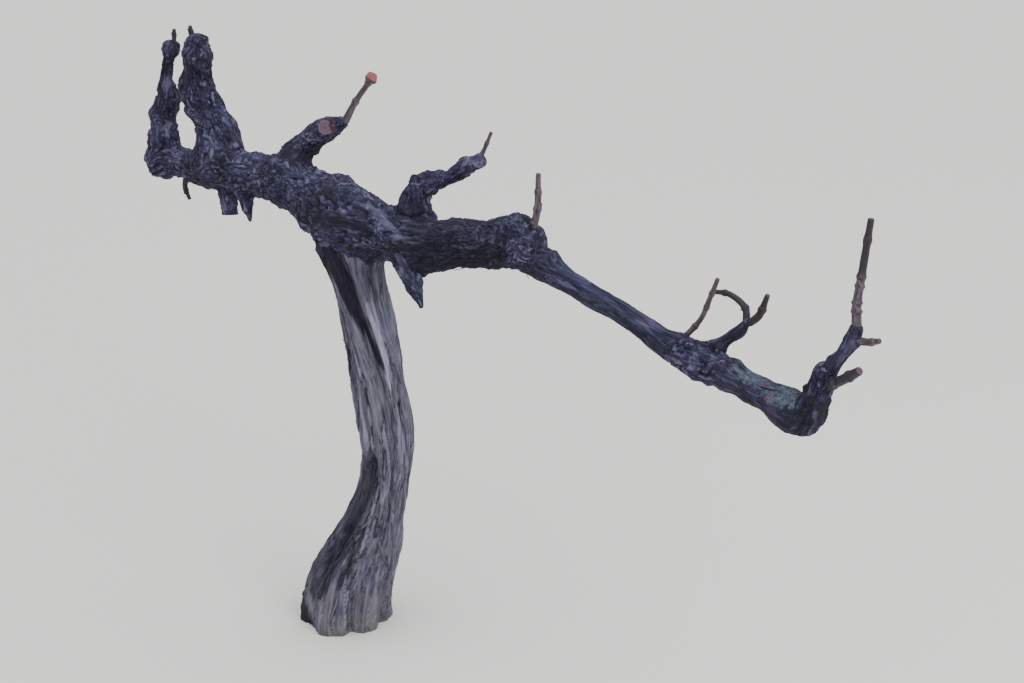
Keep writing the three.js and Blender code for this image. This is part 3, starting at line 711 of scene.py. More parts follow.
class Limb:
    """A limb's rows along its middle line, in millimetres.

    Each row has its middle and cross axes, its share of the limb's length, the share of the radius that it
    keeps, its distance along, and whether it lies in a sawn face.
    """

    def __init__(self, name, table, radius_at, first_across):
        self.name = name
        self.table = table
        self.radius_at = radius_at
        self.length = curve_length(table["joints"])
        self.first_across = first_across

    def lay_rows(self, step):
        """Lays rows a step apart, closed by a dome at the root and a dome or a sawn face at the tip."""
        joints = self.table["joints"]
        count = max(8, round(self.length / step))
        shares = np.linspace(0, 1, count + 1)
        nudge = 0.002
        before = curve_points(joints, np.maximum(shares - nudge, 0))
        ahead = unit(curve_points(joints, np.minimum(shares + nudge, 1)) - before)
        across = [np.array(self.first_across, float)]
        for direction in ahead:
            last = across[-1]
            across.append(unit(last - direction * (last @ direction)))
        across = np.array(across[1:])
        up = np.cross(ahead, across)
        middle = curve_points(joints, shares)
        end_radius = self.table["radii"][-1]
        if self.table.get("sawn"):
            face = np.linspace(SAWN_SHARE, 0, max(4, round(end_radius / step)))
            forward = np.concatenate([[SAWN_CHAMFER * WORN_EDGE[0]], np.full(len(face), SAWN_CHAMFER)])
            keep = np.concatenate([[WORN_EDGE[1]], face])
            flat = np.concatenate([[0], np.ones(len(face))])
        else:
            around = np.linspace(0, math.pi / 2, max(6, round(1.4 * end_radius / step)))[1:]
            forward = np.sin(around) * end_radius * END_DEPTH
            keep = np.cos(around)
            flat = np.zeros(len(around))
        # The root's dome lies inside the limb that it grows from
        root_radius = self.table["radii"][0]
        root = np.linspace(-math.pi / 2, 0, max(6, round(root_radius / step)))[:-1]
        back = np.sin(root) * root_radius * ROOT_DEPTH
        before, after = len(back), len(forward)
        self.middle = np.vstack(
            [middle[0] + ahead[0] * back[:, None], middle, middle[-1] + ahead[-1] * forward[:, None]]
        )
        self.across = np.vstack([np.repeat(across[:1], before, 0), across, np.repeat(across[-1:], after, 0)])
        self.up = np.vstack([np.repeat(up[:1], before, 0), up, np.repeat(up[-1:], after, 0)])
        self.share = np.concatenate([np.zeros(before), shares, np.ones(after)])
        self.keep = np.concatenate([np.cos(root), np.ones(count + 1), np.maximum(keep, 0)])
        self.keep[0] = 0
        self.along = np.concatenate([back, shares * self.length, self.length + forward])
        self.flat = np.concatenate([np.zeros(before + count + 1), flat])
        return self

    def body_rows(self):
        """The rows between the root's dome and the tip's close."""
        return np.flatnonzero((self.keep == 1) & (self.flat == 0))

    def surface(self, shares, bearings, proud):
        """Points that stand proud of the limb's even surface, by share of its length and bearing, and the
        way outward there."""
        rows = self.body_rows()

        def at(values):
            return np.stack([np.interp(shares, self.share[rows], values[rows, i]) for i in range(3)], axis=1)

        outward = at(self.across) * np.cos(bearings)[:, None] + at(self.up) * np.sin(bearings)[:, None]
        distance = self.radius_at(shares, bearings) + proud
        return at(self.middle) + outward * distance[:, None], outward


class Trunk(Limb):
    """The trunk, whose rows lie level, from a flat foot to a domed head."""

    def lay_rows(self, step):
        count = round(HEAD_HEIGHT / step)
        shares = np.linspace(0, 1, count + 1)
        swing = np.sin(math.pi * shares**TRUNK_BOW_SKEW) ** 2
        middle = np.stack(
            [
                TRUNK_LEAN * shares + TRUNK_BOW * swing,
                TRUNK_TIP_BACK * shares - TRUNK_BOW_FORWARD * swing,
                HEAD_HEIGHT * shares,
            ],
            axis=1,
        )
        into_dome = np.maximum(0, 1 - HEAD_HEIGHT * (1 - shares) / CROWN_ROUNDING)
        self.middle = np.vstack([middle[:1], middle])
        self.across = np.tile([1.0, 0.0, 0.0], (count + 2, 1))
        self.up = np.tile([0.0, 1.0, 0.0], (count + 2, 1))
        self.share = np.concatenate([[0], shares])
        self.keep = np.concatenate([[0], np.sqrt(1 - into_dome**2)])
        self.along = np.concatenate([[0], shares * HEAD_HEIGHT])
        self.flat = np.zeros(count + 2)
        return self


def waves_from(random, count, around, along):
    """Seeded waves: how often each goes round, how far it runs along, and where it starts."""
    waves = []
    for _ in range(count):
        times = around[0] + int(next(random) * around[1])
        run = along[0] + next(random) * along[1]
        waves.append((times, run, next(random) * WHOLE_TURN))
    return waves


def trunk_radius(share, bearing):
    """The radius of the trunk's solid: its taper with flutes, swellings, clefts and seeded waves."""
    foot = FOOT_SWELL * np.exp(-((share / FOOT_SWELL_SHARE) ** FOOT_SWELL_POWER))
    above_waist = np.maximum(0, (share - HEAD_SWELL_FROM) / (1 - HEAD_SWELL_FROM))
    radius = WAIST_RADIUS + foot + HEAD_SWELL * above_waist**HEAD_SWELL_POWER
    fluted = sum(depth * np.cos(count * bearing + twist * share) for count, depth, twist in FLUTES)
    radius = radius * (1 + fluted)
    height = share * HEAD_HEIGHT
    for middle, half, side, reach, spread in TRUNK_SWELLINGS:
        beside = between(bearing, math.radians(side))
        radius = radius + reach * bell(height - middle, half) * bell(beside, math.radians(spread))
    for (top, top_side), (low, low_side), half, depth in TRUNK_CLEFTS:
        down = np.clip((top - height) / (top - low), 0, 1)
        side = np.radians(top_side + down * (low_side - top_side))
        past = np.maximum(0, np.maximum(height - top, low - height))
        radius = radius - depth * bell(past, CLEFT_FADE) * bell(between(bearing, side) * radius, half)
    random = seeded_random("trunk")
    for count, height, around, along in TRUNK_WAVES:
        for times, run, phase in waves_from(random, count, around, along):
            radius = radius + height * np.sin(times * bearing + run * share + phase)
    return radius


def bough_radius(name, table):
    """The radius of a bough's solid by share of length and bearing: waves and knots on a smooth taper."""
    random = seeded_random(name)
    waves = waves_from(random, *BOUGH_WAVES)
    length = curve_length(table["joints"])

    def radius_at(share, bearing):
        radius = smooth_value(table["radii"], share)
        for around, along, phase in waves:
            radius = radius * (1 + WAVE_SHARE * np.sin(around * bearing + along * share + phase))
        for place, side, height, half in table["knots"]:
            beside = between(bearing, math.radians(side))
            radius = radius + height * bell((share - place) * length, half) * bell(beside, KNOT_SPREAD)
        if "rope" in table:
            shares, sides, half, height = table["rope"]
            side = np.radians(np.interp(share, shares, sides))
            past = np.maximum(0, np.maximum(shares[0] - share, share - shares[-1])) * length
            radius = radius + height * bell(between(bearing, side) * radius, half) * bell(past, ROPE_FADE)
        if table.get("ragged"):
            side = 0.55 + 0.45 * np.sin(2 * bearing + 1)
            radius = radius * (1 - RAGGED_LOSS * ease(share, RAGGED_FROM, 1.0) * side)
        return radius

    return radius_at


def cane_radius(table, buds):
    """The radius of a cane by share of length, swollen a little at each bud."""
    length = curve_length(table["joints"])
    swelling, half = BUD_SWELLING

    def radius_at(share, bearing):
        radius = smooth_value(table["radii"], share)
        for place in buds:
            radius = radius * (1 + swelling * bell((share - place) * length, half))
        return radius

    return radius_at


def make_limbs():
    """Every limb by its node's name: the trunk and the boughs."""
    trunk_table = {"joints": ((0, 0, 0), (0, 0, HEAD_HEIGHT)), "radii": (WAIST_RADIUS, WAIST_RADIUS)}
    limbs = {"trunk": Trunk("trunk", trunk_table, trunk_radius, (1, 0, 0))}
    for name, table in BOUGHS.items():
        limbs[name] = Limb(name, table, bough_radius(name, table), FIRST_ACROSS["bough"])
    return limbs


def outline_balls(limb):
    """Balls along a limb that fill it roughly: their middles and radii."""
    limb.lay_rows(BALL_SPACING)
    rows = limb.keep > 0.3
    bearings = np.linspace(0, WHOLE_TURN, 12, endpoint=False)
    radii = np.mean([limb.radius_at(limb.share[rows], b) for b in bearings], axis=0) * limb.keep[rows]
    return limb.middle[rows], radii


def web(points, outward, girth, neighbours):
    """How high live wood has grown up where a limb meets others, so that one runs smoothly into the next."""
    height = np.zeros(len(points))
    low, high = points.min(axis=0), points.max(axis=0)
    for middles, radii in neighbours:
        near = ((middles > low - WEB_SEARCH) & (middles < high + WEB_SEARCH)).all(axis=1)
        if not near.any():
            continue
        reach = WEB_REACH[0] * min(girth, radii[near].mean()) + WEB_REACH[1]
        grown = np.zeros(len(points))
        # The wood raises the surface that it is measured from, so its height settles in three rounds
        for _ in range(3):
            raised = points + outward * grown[:, None]
            distance = np.full(len(points), np.inf)
            for middle, radius in zip(middles[near], radii[near]):
                distance = np.minimum(distance, np.linalg.norm(raised - middle, axis=1) - radius)
            grown = WEB_HEIGHT * reach * np.clip(1 - np.abs(distance - grown) / reach, 0, 1) ** 2
        height = np.maximum(height, grown)
    return height


def inside_band(along, bearing, radius, places):
    """How deep each point of a limb lies in a band, from 1 on its middle line to 0 on its edge."""
    stations, bearings, halves = np.array(places, float).T
    beside = between(bearing, np.radians(np.interp(along, stations, bearings))) * radius
    past = np.maximum(0, np.maximum(stations[0] - along, along - stations[-1]))
    return 1 - beside / np.interp(along, stations, halves) - past / BAND_FADE


def weathering(points, straight, kind, seed, bands):
    """How far one kind of weathering has gone at each point, from 0 to 1, with ragged edges."""
    across, along, ragged, fade = WEATHER_EDGES[kind]
    edge = ragged * layered(straight / (across, across, along), seed, 3)
    gone = np.zeros(len(points))
    for middle, reach in WEATHERING[kind]:
        away = np.linalg.norm((points - np.array(middle)) / np.array(reach), axis=1)
        gone = np.maximum(gone, ease(1 - away + edge, 0.0, fade))
    for strength, depth in bands:
        gone = np.maximum(gone, strength * ease(depth + edge, 0.0, fade))
    return gone


def weather_places(limb, points, straight, along, bearing, radius, seed):
    """How far each kind of weathering has gone on a limb, by its name."""
    places = {}
    for weather in WEATHERING:
        bands = BANDS.get(limb.name, {}).get(weather, ())
        inside = [(strength, inside_band(along, bearing, radius, band)) for strength, band in bands]
        places[weather] = weathering(points, straight, weather, seed + 71, inside)
    return places


def deselect_all():
    bpy.ops.object.select_all(action="DESELECT")


def finish_piece(piece, node):
    """Smooth shading, and the piece's place in the frame."""
    bpy.context.view_layer.objects.active = piece
    piece.select_set(True)
    bpy.ops.object.shade_smooth()
    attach(piece, BODY)
    if node:
        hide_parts(node)
    deselect_all()


def close_seams():
    """Joins the points of the selected piece that lie in one place, and turns its faces outward."""
    bpy.ops.object.mode_set(mode="EDIT")
    bpy.ops.mesh.select_all(action="SELECT")
    bpy.ops.mesh.remove_doubles(threshold=MERGE_DISTANCE)
    bpy.ops.mesh.normals_make_consistent(inside=False)
    bpy.ops.object.mode_set(mode="OBJECT")


def store(mesh, name, values):
    """Keeps a number or a vector for every point of the mesh, for its material to read."""
    kind, key = ("FLOAT_VECTOR", "vector") if values.ndim == 2 else ("FLOAT", "value")
    attribute = mesh.attributes.new(name, kind, "POINT")
    attribute.data.foreach_set(key, values.astype(np.float32).ravel())


def wrap(name, columns, limb, shape):
    """A closed skin: a grid rolled round the limb's rows. shape() gives each point's distance from the limb's
    middle line, and what is stored with it, from its bearing and row."""
    deselect_all()
    rows = len(limb.share)
    bpy.ops.mesh.primitive_grid_add(x_subdivisions=columns, y_subdivisions=rows - 1, size=2)
    piece = bpy.context.object
    piece.name = name
    piece.data.name = name
    flat = np.zeros(len(piece.data.vertices) * 3)
    piece.data.vertices.foreach_get("co", flat)
    flat = flat.reshape(-1, 3)
    bearing = (flat[:, 0] + 1) / 2 * WHOLE_TURN
    row = np.rint((flat[:, 1] + 1) / 2 * (rows - 1)).astype(int)
    outward = limb.across[row] * np.cos(bearing)[:, None] + limb.up[row] * np.sin(bearing)[:, None]
    distance, kept = shape(bearing, row, outward)
    points = limb.middle[row] + outward * distance[:, None]
    piece.data.vertices.foreach_set("co", (points * TO_METRES).ravel())
    for key, values in kept.items():
        store(piece.data, key, values)
    close_seams()
    return piece


def assign(piece, *materials):
    piece.data.materials.clear()
    for material in materials:
        piece.data.materials.append(material)


def mark_cut_face(piece):
    """Gives the faces of a sawn end the second material."""
    cut = np.zeros(len(piece.data.vertices))
    piece.data.attributes["cut"].data.foreach_get("value", cut)
    for face in piece.data.polygons:
        face.material_index = int(min(cut[v] for v in face.vertices) > 0.5)


def tube(limb, bearing, row, girth, least, seed):
    """Where each point lies on an even tube, which the patterns of the bark are laid on."""
    opened = girth * np.maximum(limb.keep[row], least)
    along = limb.along[row] + seed % PATTERN_SHIFT
    return np.stack([np.cos(bearing) * opened, np.sin(bearing) * opened, along], axis=1)


def bark_skin(limb, kind, step, depth, neighbours, twist):
    """A limb's skin with the bark's relief."""
    limb.lay_rows(step)
    seed = seed_of(limb.name)
    girth = float(np.mean(limb.table["radii"]))
    # The widest of sixteen places says how many points go round
    widest = max(limb.radius_at(s, b) for s in (0.0, 0.3, 0.6, 1.0) for b in (0.0, 1.6, 3.1, 4.7))
    columns = int(WHOLE_TURN * min(widest, 1.5 * girth) / step)

    def shape(bearing, row, outward):
        share, keep = limb.share[row], limb.keep[row]
        smooth = limb.radius_at(share, bearing)
        even = limb.middle[row] + outward * (smooth * keep)[:, None]
        opened = np.sqrt(limb.radius_at(share, 1.0) * girth)
        straight = tube(limb, bearing + twist * share, row, opened, LEAST_TUBE, seed)
        relief, ridge, tone = bark(straight, kind, seed, depth)
        grown = web(even, outward, girth, neighbours)
        # Painted sky highlight on what faces up, left out of the shaded corners where limbs meet
        skyward = outward[:, 2] + 0.2 * layered(straight / (7, 7, 16), seed + 5, 2)
        kept = {
            "straight": straight,
            "ridge": ridge,
            "tone": tone,
            "cut": limb.flat[row],
            "bleached": ease(skyward, *SKY_SHEEN_SIDE) * (1 - ease(grown, 0, SHADED_WEB)),
            **weather_places(limb, even, straight, limb.along[row], bearing, smooth, seed),
        }
        # Thin limbs have finer bark, sawn faces almost none, and bare wood less
        finer = np.clip(smooth / FULL_BARK_RADIUS, LEAST_BARK, 1)
        relief = relief * (1 - 0.9 * limb.flat[row]) * finer
        relief = relief * (1 - BARE_RELIEF * np.maximum(kept["bare_wood"], kept["dead_wood"]))
        if limb.name == "trunk":
            size, height, half = FOOT_BURRS
            relief = relief + height * layered(even / size, seed + 83, 2) * bell(limb.along[row], half)
        return np.maximum(0, (smooth + relief + grown) * keep), kept

    return wrap(limb.name + "_bark", columns, limb, shape)


def add_node(tree, kind, settings=None, inputs=None, output=0):
    """Adds a node with its settings and its inputs' values or links, and gives one of its outputs."""
    node = tree.nodes.new(kind)
    for key, value in (settings or {}).items():
        if key == "stops":
            for place, _ in value[2:]:
                node.color_ramp.elements.new(place)
            for element, (place, shade) in zip(node.color_ramp.elements, value):
                element.position = place
                element.color = linear(shade) if isinstance(shade, str) else [shade] * 3 + [1]
        else:
            setattr(node, key, value)
    for key, value in (inputs or {}).items():
        if isinstance(value, bpy.types.NodeSocket):
            tree.links.new(value, node.inputs[key])
        else:
            node.inputs[key].default_value = linear(value) if isinstance(value, str) else value
    return node.outputs[output] if node.outputs else None


def new_material(name):
    """A material with an empty tree of nodes."""
    material = bpy.data.materials.new(name)
    material.use_nodes = True
    material.node_tree.nodes.clear()
    return material, material.node_tree


def finish_tree(tree, inputs):
    """Ends a material's tree with the shader and its inputs."""
    shader = add_node(tree, "ShaderNodeBsdfPrincipled", None, inputs)
    add_node(tree, "ShaderNodeOutputMaterial", None, {"Surface": shader})


def stretched_noise(tree, straight, patterns):
    """Noise patterns by name, each stretched to its size."""
    made = {}
    for name, (size, detail, roughness, distortion) in patterns.items():
        inputs = {
            "Vector": add_node(tree, "ShaderNodeVectorMath", {"operation": "DIVIDE"}, {0: straight, 1: size}),
            "Scale": 1.0,
            "Detail": detail,
            "Roughness": roughness,
            "Distortion": distortion,
        }
        made[name] = add_node(tree, "ShaderNodeTexNoise", None, inputs)
    return made


def layer_colours(tree, shades, layers):
    """Lays colours over one another, each by its share and its way of blending."""
    for share, colour, blend in layers:
        settings = {"data_type": "RGBA", "blend_type": blend}
        shades = add_node(tree, "ShaderNodeMix", settings, {0: share, 6: shades, 7: colour}, 2)
    return shades


def bark_inputs(tree, look):
    """Weathered vine bark: fibres in three shades, dark cracks with painted shade, worn raised edges with a
    painted highlight, a painted sky sheen on what faces up, and weathered places, the damp ones darkened with
    painted shade.
    """
    straight = add_node(tree, "ShaderNodeAttribute", {"attribute_name": "straight"}, output="Vector")
    strings = {"fibre": (look["fibre"], *FIBRE_NOISE), "thread": (look["thread"], *THREAD_NOISE)}
    noises = stretched_noise(tree, straight, {**BARK_NOISES, **strings})
    stored = {
        name: add_node(tree, "ShaderNodeAttribute", {"attribute_name": name}, output="Fac")
        for name in ("ridge", "tone", "bleached", *WEATHERING)
    }
    ridge, fibre = stored["ridge"], noises["fibre"]
    sources = {
        # The three shades run from the bark's hollows to its fibres' worn edges
        "shades": (fibre, ((0.3, look["dark"]), (0.5, look["middle"]), (0.68, look["light"]))),
        "tint": (stored["tone"], ((0.0, look["tint_low"]), (1.0, look["tint_high"]))),
        # Colour wanders over a hand's breadth, as bark does where it dries and weathers at its own pace
        "wander": (noises["wander"], ((0.42, 0.0), (0.66, look["wander_share"]))),
        # Cracks darkened: dark inner bark, with painted shade in the hollows
        "crack": (ridge, ((0.06, look["crack_and_shade_share"]), (0.36, 0.0))),
        # Raised edges lightened: wear, with a painted highlight
        "wear_and_highlight": (ridge, ((0.48, 0.0), (0.78, look["wear_and_highlight_share"]))),
        # Flecks that break up the painted sky sheen
        "flecks": (fibre, ((0.42, 0.15), (0.62, 1.0))),
        "rough": (fibre, ((0.3, look["rough"][0]), (0.7, look["rough"][1]))),
    }
    for weather, (_, noise_name, colours) in WEATHER_LOOKS.items():
        low, high = look.get(weather, colours)
        sources[weather] = (noises[noise_name], ((0.35, low), (0.65, high)))
    ramps = {
        name: add_node(tree, "ShaderNodeValToRGB", {"stops": stops}, {"Fac": source})
        for name, (source, stops) in sources.items()
    }
    shares = {"bleached": ramps["flecks"], **{weather: row[0] for weather, row in WEATHER_LOOKS.items()}}
    covered = {
        name: add_node(tree, "ShaderNodeMath", {"operation": "MULTIPLY"}, {0: stored[name], 1: share})
        for name, share in shares.items()
    }
    layers = (
        (look["tint_share"], ramps["tint"], "SOFT_LIGHT"),
        *((ramps[name], look[name], "MIX") for name in ("wander", "crack", "wear_and_highlight")),
        # The painted sky sheen, screened over what faces up
        (covered["bleached"], look["bleached"], "SCREEN"),
        *((covered[weather], ramps[weather], "MIX") for weather in WEATHER_LOOKS),
    )
    relief = {}
    for name, strength, distance in (
        ("grain", *GRAIN_BUMP),
        ("thread", STRING_BUMP, look["thread_depth"]),
        ("fibre", STRING_BUMP, look["fibre_depth"]),
    ):
        inputs = {"Height": noises[name], "Strength": strength, "Distance": distance, **relief}
        relief = {"Normal": add_node(tree, "ShaderNodeBump", None, inputs)}
    return {
        "Base Color": layer_colours(tree, ramps["shades"], layers),
        "Roughness": ramps["rough"],
        "Specular IOR Level": look["specular"],
        **relief,
    }


def cut_wood_inputs(tree, look):
    """Sawn vine wood: paler sapwood round a darker heart, with the rings of its years."""
    straight = add_node(tree, "ShaderNodeAttribute", {"attribute_name": "straight"}, output="Vector")
    noises = stretched_noise(tree, straight, CUT_NOISES)
    flat = add_node(tree, "ShaderNodeVectorMath", {"operation": "MULTIPLY"}, {0: straight, 1: (1, 1, 0)})
    out = add_node(tree, "ShaderNodeVectorMath", {"operation": "LENGTH"}, {0: flat}, "Value")
    inputs = {0: noises["wobble"], 1: RING_WOBBLE, 2: out}
    ring = add_node(tree, "ShaderNodeMath", {"operation": "MULTIPLY_ADD"}, inputs)
    for operation in ("PINGPONG", "DIVIDE"):
        ring = add_node(tree, "ShaderNodeMath", {"operation": operation}, {0: ring, 1: look["ring"]})
    heart = add_node(tree, "ShaderNodeMath", {"operation": "DIVIDE"}, {0: out, 1: look["heart"]})
    sources = {
        "wood": (ring, ((0.1, look["late"]), (0.7, look["early"]))),
        "core": (heart, ((0.25, 0.8), (1.0, 0.0))),
        "stain": (noises["stain"], ((0.5, 0.0), (0.72, 0.55))),
    }
    ramps = {
        name: add_node(tree, "ShaderNodeValToRGB", {"stops": stops}, {"Fac": source})
        for name, (source, stops) in sources.items()
    }
    layers = [(ramps[name], look[name], "MIX") for name in ("core", "stain")]
    relief = {"Height": ring, "Strength": RING_BUMP[0], "Distance": RING_BUMP[1]}
    return {
        "Base Color": layer_colours(tree, ramps["wood"], layers),
        "Roughness": 0.85,
        "Normal": add_node(tree, "ShaderNodeBump", None, relief),
    }


def make_materials():
    """The finishes by name."""
    made = {}
    for looks, inputs_of in ((BARK_LOOKS, bark_inputs), (CUT_LOOKS, cut_wood_inputs)):
        for name, look in looks.items():
            made[name], tree = new_material(name)
            finish_tree(tree, inputs_of(tree, look))
    return made


class GrapevineBark(bpy.types.PropertyGroup):
    """How rough the bark is, and how finely it is modelled."""

    trunk_depth: bpy.props.FloatProperty(
        name="Trunk relief", description="Depth of the trunk's strips and cracks, 1 as measured", default=1.0
    )
    arm_depth: bpy.props.FloatProperty(
        name="Arm relief", description="Depth of the arms' plates and cracks, 1 as measured", default=1.0
    )
    trunk_step: bpy.props.FloatProperty(
        name="Trunk detail", description="Spacing of the trunk skin's points", default=0.00155, unit="LENGTH"
    )
    arm_step: bpy.props.FloatProperty(
        name="Arm detail", description="Spacing of the arm skins' points", default=0.0016, unit="LENGTH"
    )


class GrapevineStage(bpy.types.PropertyGroup):
    """The floor and the light round the vine."""

    floor_colour: bpy.props.FloatVectorProperty(
        name="Floor", description="Colour of the floor", subtype="COLOR", size=4, default=linear("#dad8d4")
    )
    floor_width: bpy.props.FloatProperty(
        name="Floor width", description="Width of the floor", default=60.0, unit="LENGTH"
    )
    sky_strength: bpy.props.FloatProperty(
        name="Sky", description="Strength of the light from all round", default=1.1
    )
    overhead_strength: bpy.props.FloatProperty(
        name="Overhead", description="Strength of the wide soft light from above", default=2.6
    )
    side_power: bpy.props.FloatProperty(
        name="Side light", description="Power of the softbox on the right", default=50.0, unit="POWER"
    )


class GRAPEVINE_OT_trunk(bpy.types.Operator):
    """Wraps the trunk in old, shredding bark"""

    bl_idname = "grapevine.trunk"
    bl_label = "Trunk bark"

    def execute(self, context):
        bark_sizes = context.scene.grapevine_bark
        limbs = make_limbs()
        neighbours = [outline_balls(limbs[name]) for name in BOUGHS]
        step = bark_sizes.trunk_step / TO_METRES
        depth = bark_sizes.trunk_depth
        piece = bark_skin(limbs["trunk"], "trunk", step, depth, neighbours, TRUNK_GRAIN_TWIST)
        assign(piece, FINISHES["shredding_old_vine_bark"])
        finish_piece(piece, "trunk")
        return {"FINISHED"}


class GRAPEVINE_OT_boughs(bpy.types.Operator):
    """Wraps the arms, spurs and cordon in scaly bark, with sawn ends where they were cut"""

    bl_idname = "grapevine.boughs"
    bl_label = "Bough bark"

    def execute(self, context):
        bark_sizes = context.scene.grapevine_bark
        limbs = make_limbs()
        balls = {name: outline_balls(limb) for name, limb in limbs.items()}
        step = bark_sizes.arm_step / TO_METRES
        depth = bark_sizes.arm_depth
        for name in BOUGHS:
            neighbours = [balls[other] for other in limbs if other != name]
            kind = "cordon" if name in CORDON_LIMBS else "arm"
            piece = bark_skin(limbs[name], kind, step, depth, neighbours, BOUGH_GRAIN_TWIST)
            finish = "tight_young_vine_bark" if kind == "cordon" else "damp_scaly_vine_bark"
            assign(piece, FINISHES[finish], FINISHES["weathered_sawn_vine_wood"])
            if BOUGHS[name].get("sawn"):
                mark_cut_face(piece)
            finish_piece(piece, name)
        return {"FINISHED"}


def strip_rings(limb, share, bearing, run, width, lift, curl):
    """Rings of points round one thin strip of bark that leaves its limb's surface, in millimetres."""
    way = np.linspace(0, 1, STRIP_RINGS)
    shares = np.clip(share + way * run / limb.length, 0.01, 0.99)
    bearings = bearing + curl * way
    points, outward = limb.surface(shares, bearings, lift * way**LOOSE_RISE - LOOSE_DEPTH)
    ahead = unit(np.gradient(points, axis=0))
    side = unit(np.cross(ahead, outward))
    out = np.cross(side, ahead)
    # The strip grows narrower and thinner to its free end
    wide = (width / 2 * (1 - 0.6 * way**1.5))[:, None]
    thick = LOOSE_THICKNESS * (1 - 0.4 * way)[:, None]
    rings = np.stack([points + side * wide * a + out * thick * b for a, b in LOOSE_SECTION], axis=1)
    section = np.tile(np.array(LOOSE_SECTION, float), (STRIP_RINGS, 1, 1)) * width / 2
    along = np.tile((way * abs(run))[:, None, None], (1, len(LOOSE_SECTION), 1))
    radii = limb.radius_at(shares, bearings)
    seed = seed_of(limb.name)
    places = weather_places(limb, points, points, shares * limb.length, bearings, radii, seed)
    places = {weather: np.repeat(amount, len(LOOSE_SECTION)) for weather, amount in places.items()}
    return rings, np.concatenate([section, along], axis=2), places


def make_loose_bark(name, limbs, strips, finish):
    """Strips of loose bark as one mesh, joined from the rings of each."""
    rings, straights, places = zip(*(strip_rings(limbs[strip[0]], *strip[1:]) for strip in strips))
    sides = len(LOOSE_SECTION)
    ring = np.arange(sides)
    faces = []
    for strip in range(len(rings)):
        first = strip * STRIP_RINGS * sides
        for i in range(STRIP_RINGS - 1):
            low = first + i * sides + ring
            next_low = np.roll(low, -1)
            faces += np.stack([low, next_low, next_low + sides, low + sides], axis=1).tolist()
        faces.append((first + ring[::-1]).tolist())
        faces.append((first + (STRIP_RINGS - 1) * sides + ring).tolist())
    mesh = bpy.data.meshes.new(name)
    mesh.from_pydata((np.concatenate(rings).reshape(-1, 3) * TO_METRES).tolist(), [], faces)
    piece = bpy.data.objects.new(name, mesh)
    bpy.context.collection.objects.link(piece)
    # Each strip has its own part of the pattern, and its own tone
    count = STRIP_RINGS * sides
    shift = np.repeat(np.arange(len(rings)), count)[:, None] * LOOSE_SHIFT
    store(mesh, "straight", np.concatenate(straights).reshape(-1, 3) + shift)
    random = seeded_random(name)
    tones = np.array([next(random) for _ in strips])
    store(mesh, "tone", np.repeat(tones, count))
    store(mesh, "ridge", np.repeat(LOOSE_RIDGE[0] + LOOSE_RIDGE[1] * tones, count))
    store(mesh, "bleached", np.zeros(len(mesh.vertices)))
    for weather in WEATHERING:
        store(mesh, weather, np.concatenate([place[weather] for place in places]))
    deselect_all()
    bpy.context.view_layer.objects.active = piece
    piece.select_set(True)
    close_seams()
    assign(piece, FINISHES[finish])
    finish_piece(piece, None)


def scattered_strips(name, count):
    """Loose strips dealt out over a limb by its own seed."""
    random = seeded_random(name + "_strips")
    longer = LOOSE_RUN_ON_TRUNK if name == "trunk" else 1.0
    for _ in range(count):
        share = LOOSE_SHARE[0] + LOOSE_SHARE[1] * next(random)
        bearing = next(random) * WHOLE_TURN
        run = (LOOSE_RUN[0] + LOOSE_RUN[1] * next(random)) * longer * (1 if next(random) > 0.5 else -1)
        width = LOOSE_WIDTH[0] + LOOSE_WIDTH[1] * next(random)
        lift = LOOSE_LIFT[0] + LOOSE_LIFT[1] * next(random) ** 2
        yield name, share, bearing, run, width, lift, next(random) - 0.5


class GRAPEVINE_OT_loose_bark(bpy.types.Operator):
    """Hangs strips of loose bark on the trunk and the arms"""

    bl_idname = "grapevine.loose_bark"
    bl_label = "Loose bark"

    def execute(self, context):
        limbs = make_limbs()
        for limb in limbs.values():
            limb.lay_rows(LOOSE_ROW_STEP)
        strips = {name: list(scattered_strips(name, count)) for name, count in LOOSE_COUNT.items()}
        placed = [(strip[0], strip[1], math.radians(strip[2]), *strip[3:]) for strip in LOOSE_STRIPS]
        on_arms = [strip for name, found in strips.items() if name != "trunk" for strip in found]
        make_loose_bark("loose_trunk_bark", limbs, strips["trunk"], "shredding_old_vine_bark")
        make_loose_bark("loose_arm_bark", limbs, on_arms + placed[1:], "damp_scaly_vine_bark")
        make_loose_bark("pale_fibre", limbs, placed[:1], "ripened_cane_bark")
        return {"FINISHED"}


class GRAPEVINE_OT_canes(bpy.types.Operator):
    """Grows the cut-back canes of last summer, with their buds and cut ends"""

    bl_idname = "grapevine.canes"
    bl_label = "Canes"

    def execute(self, context):
        for name, table in CANES.items():
            finish_piece(make_cane(name, table), name)
        return {"FINISHED"}


class GRAPEVINE_OT_stage(bpy.types.Operator):
    """Sets up the pale floor, the soft light and the camera"""

    bl_idname = "grapevine.stage"
    bl_label = "Stage"

    def execute(self, context):
        make_stage(context, context.scene.grapevine_stage)
        return {"FINISHED"}


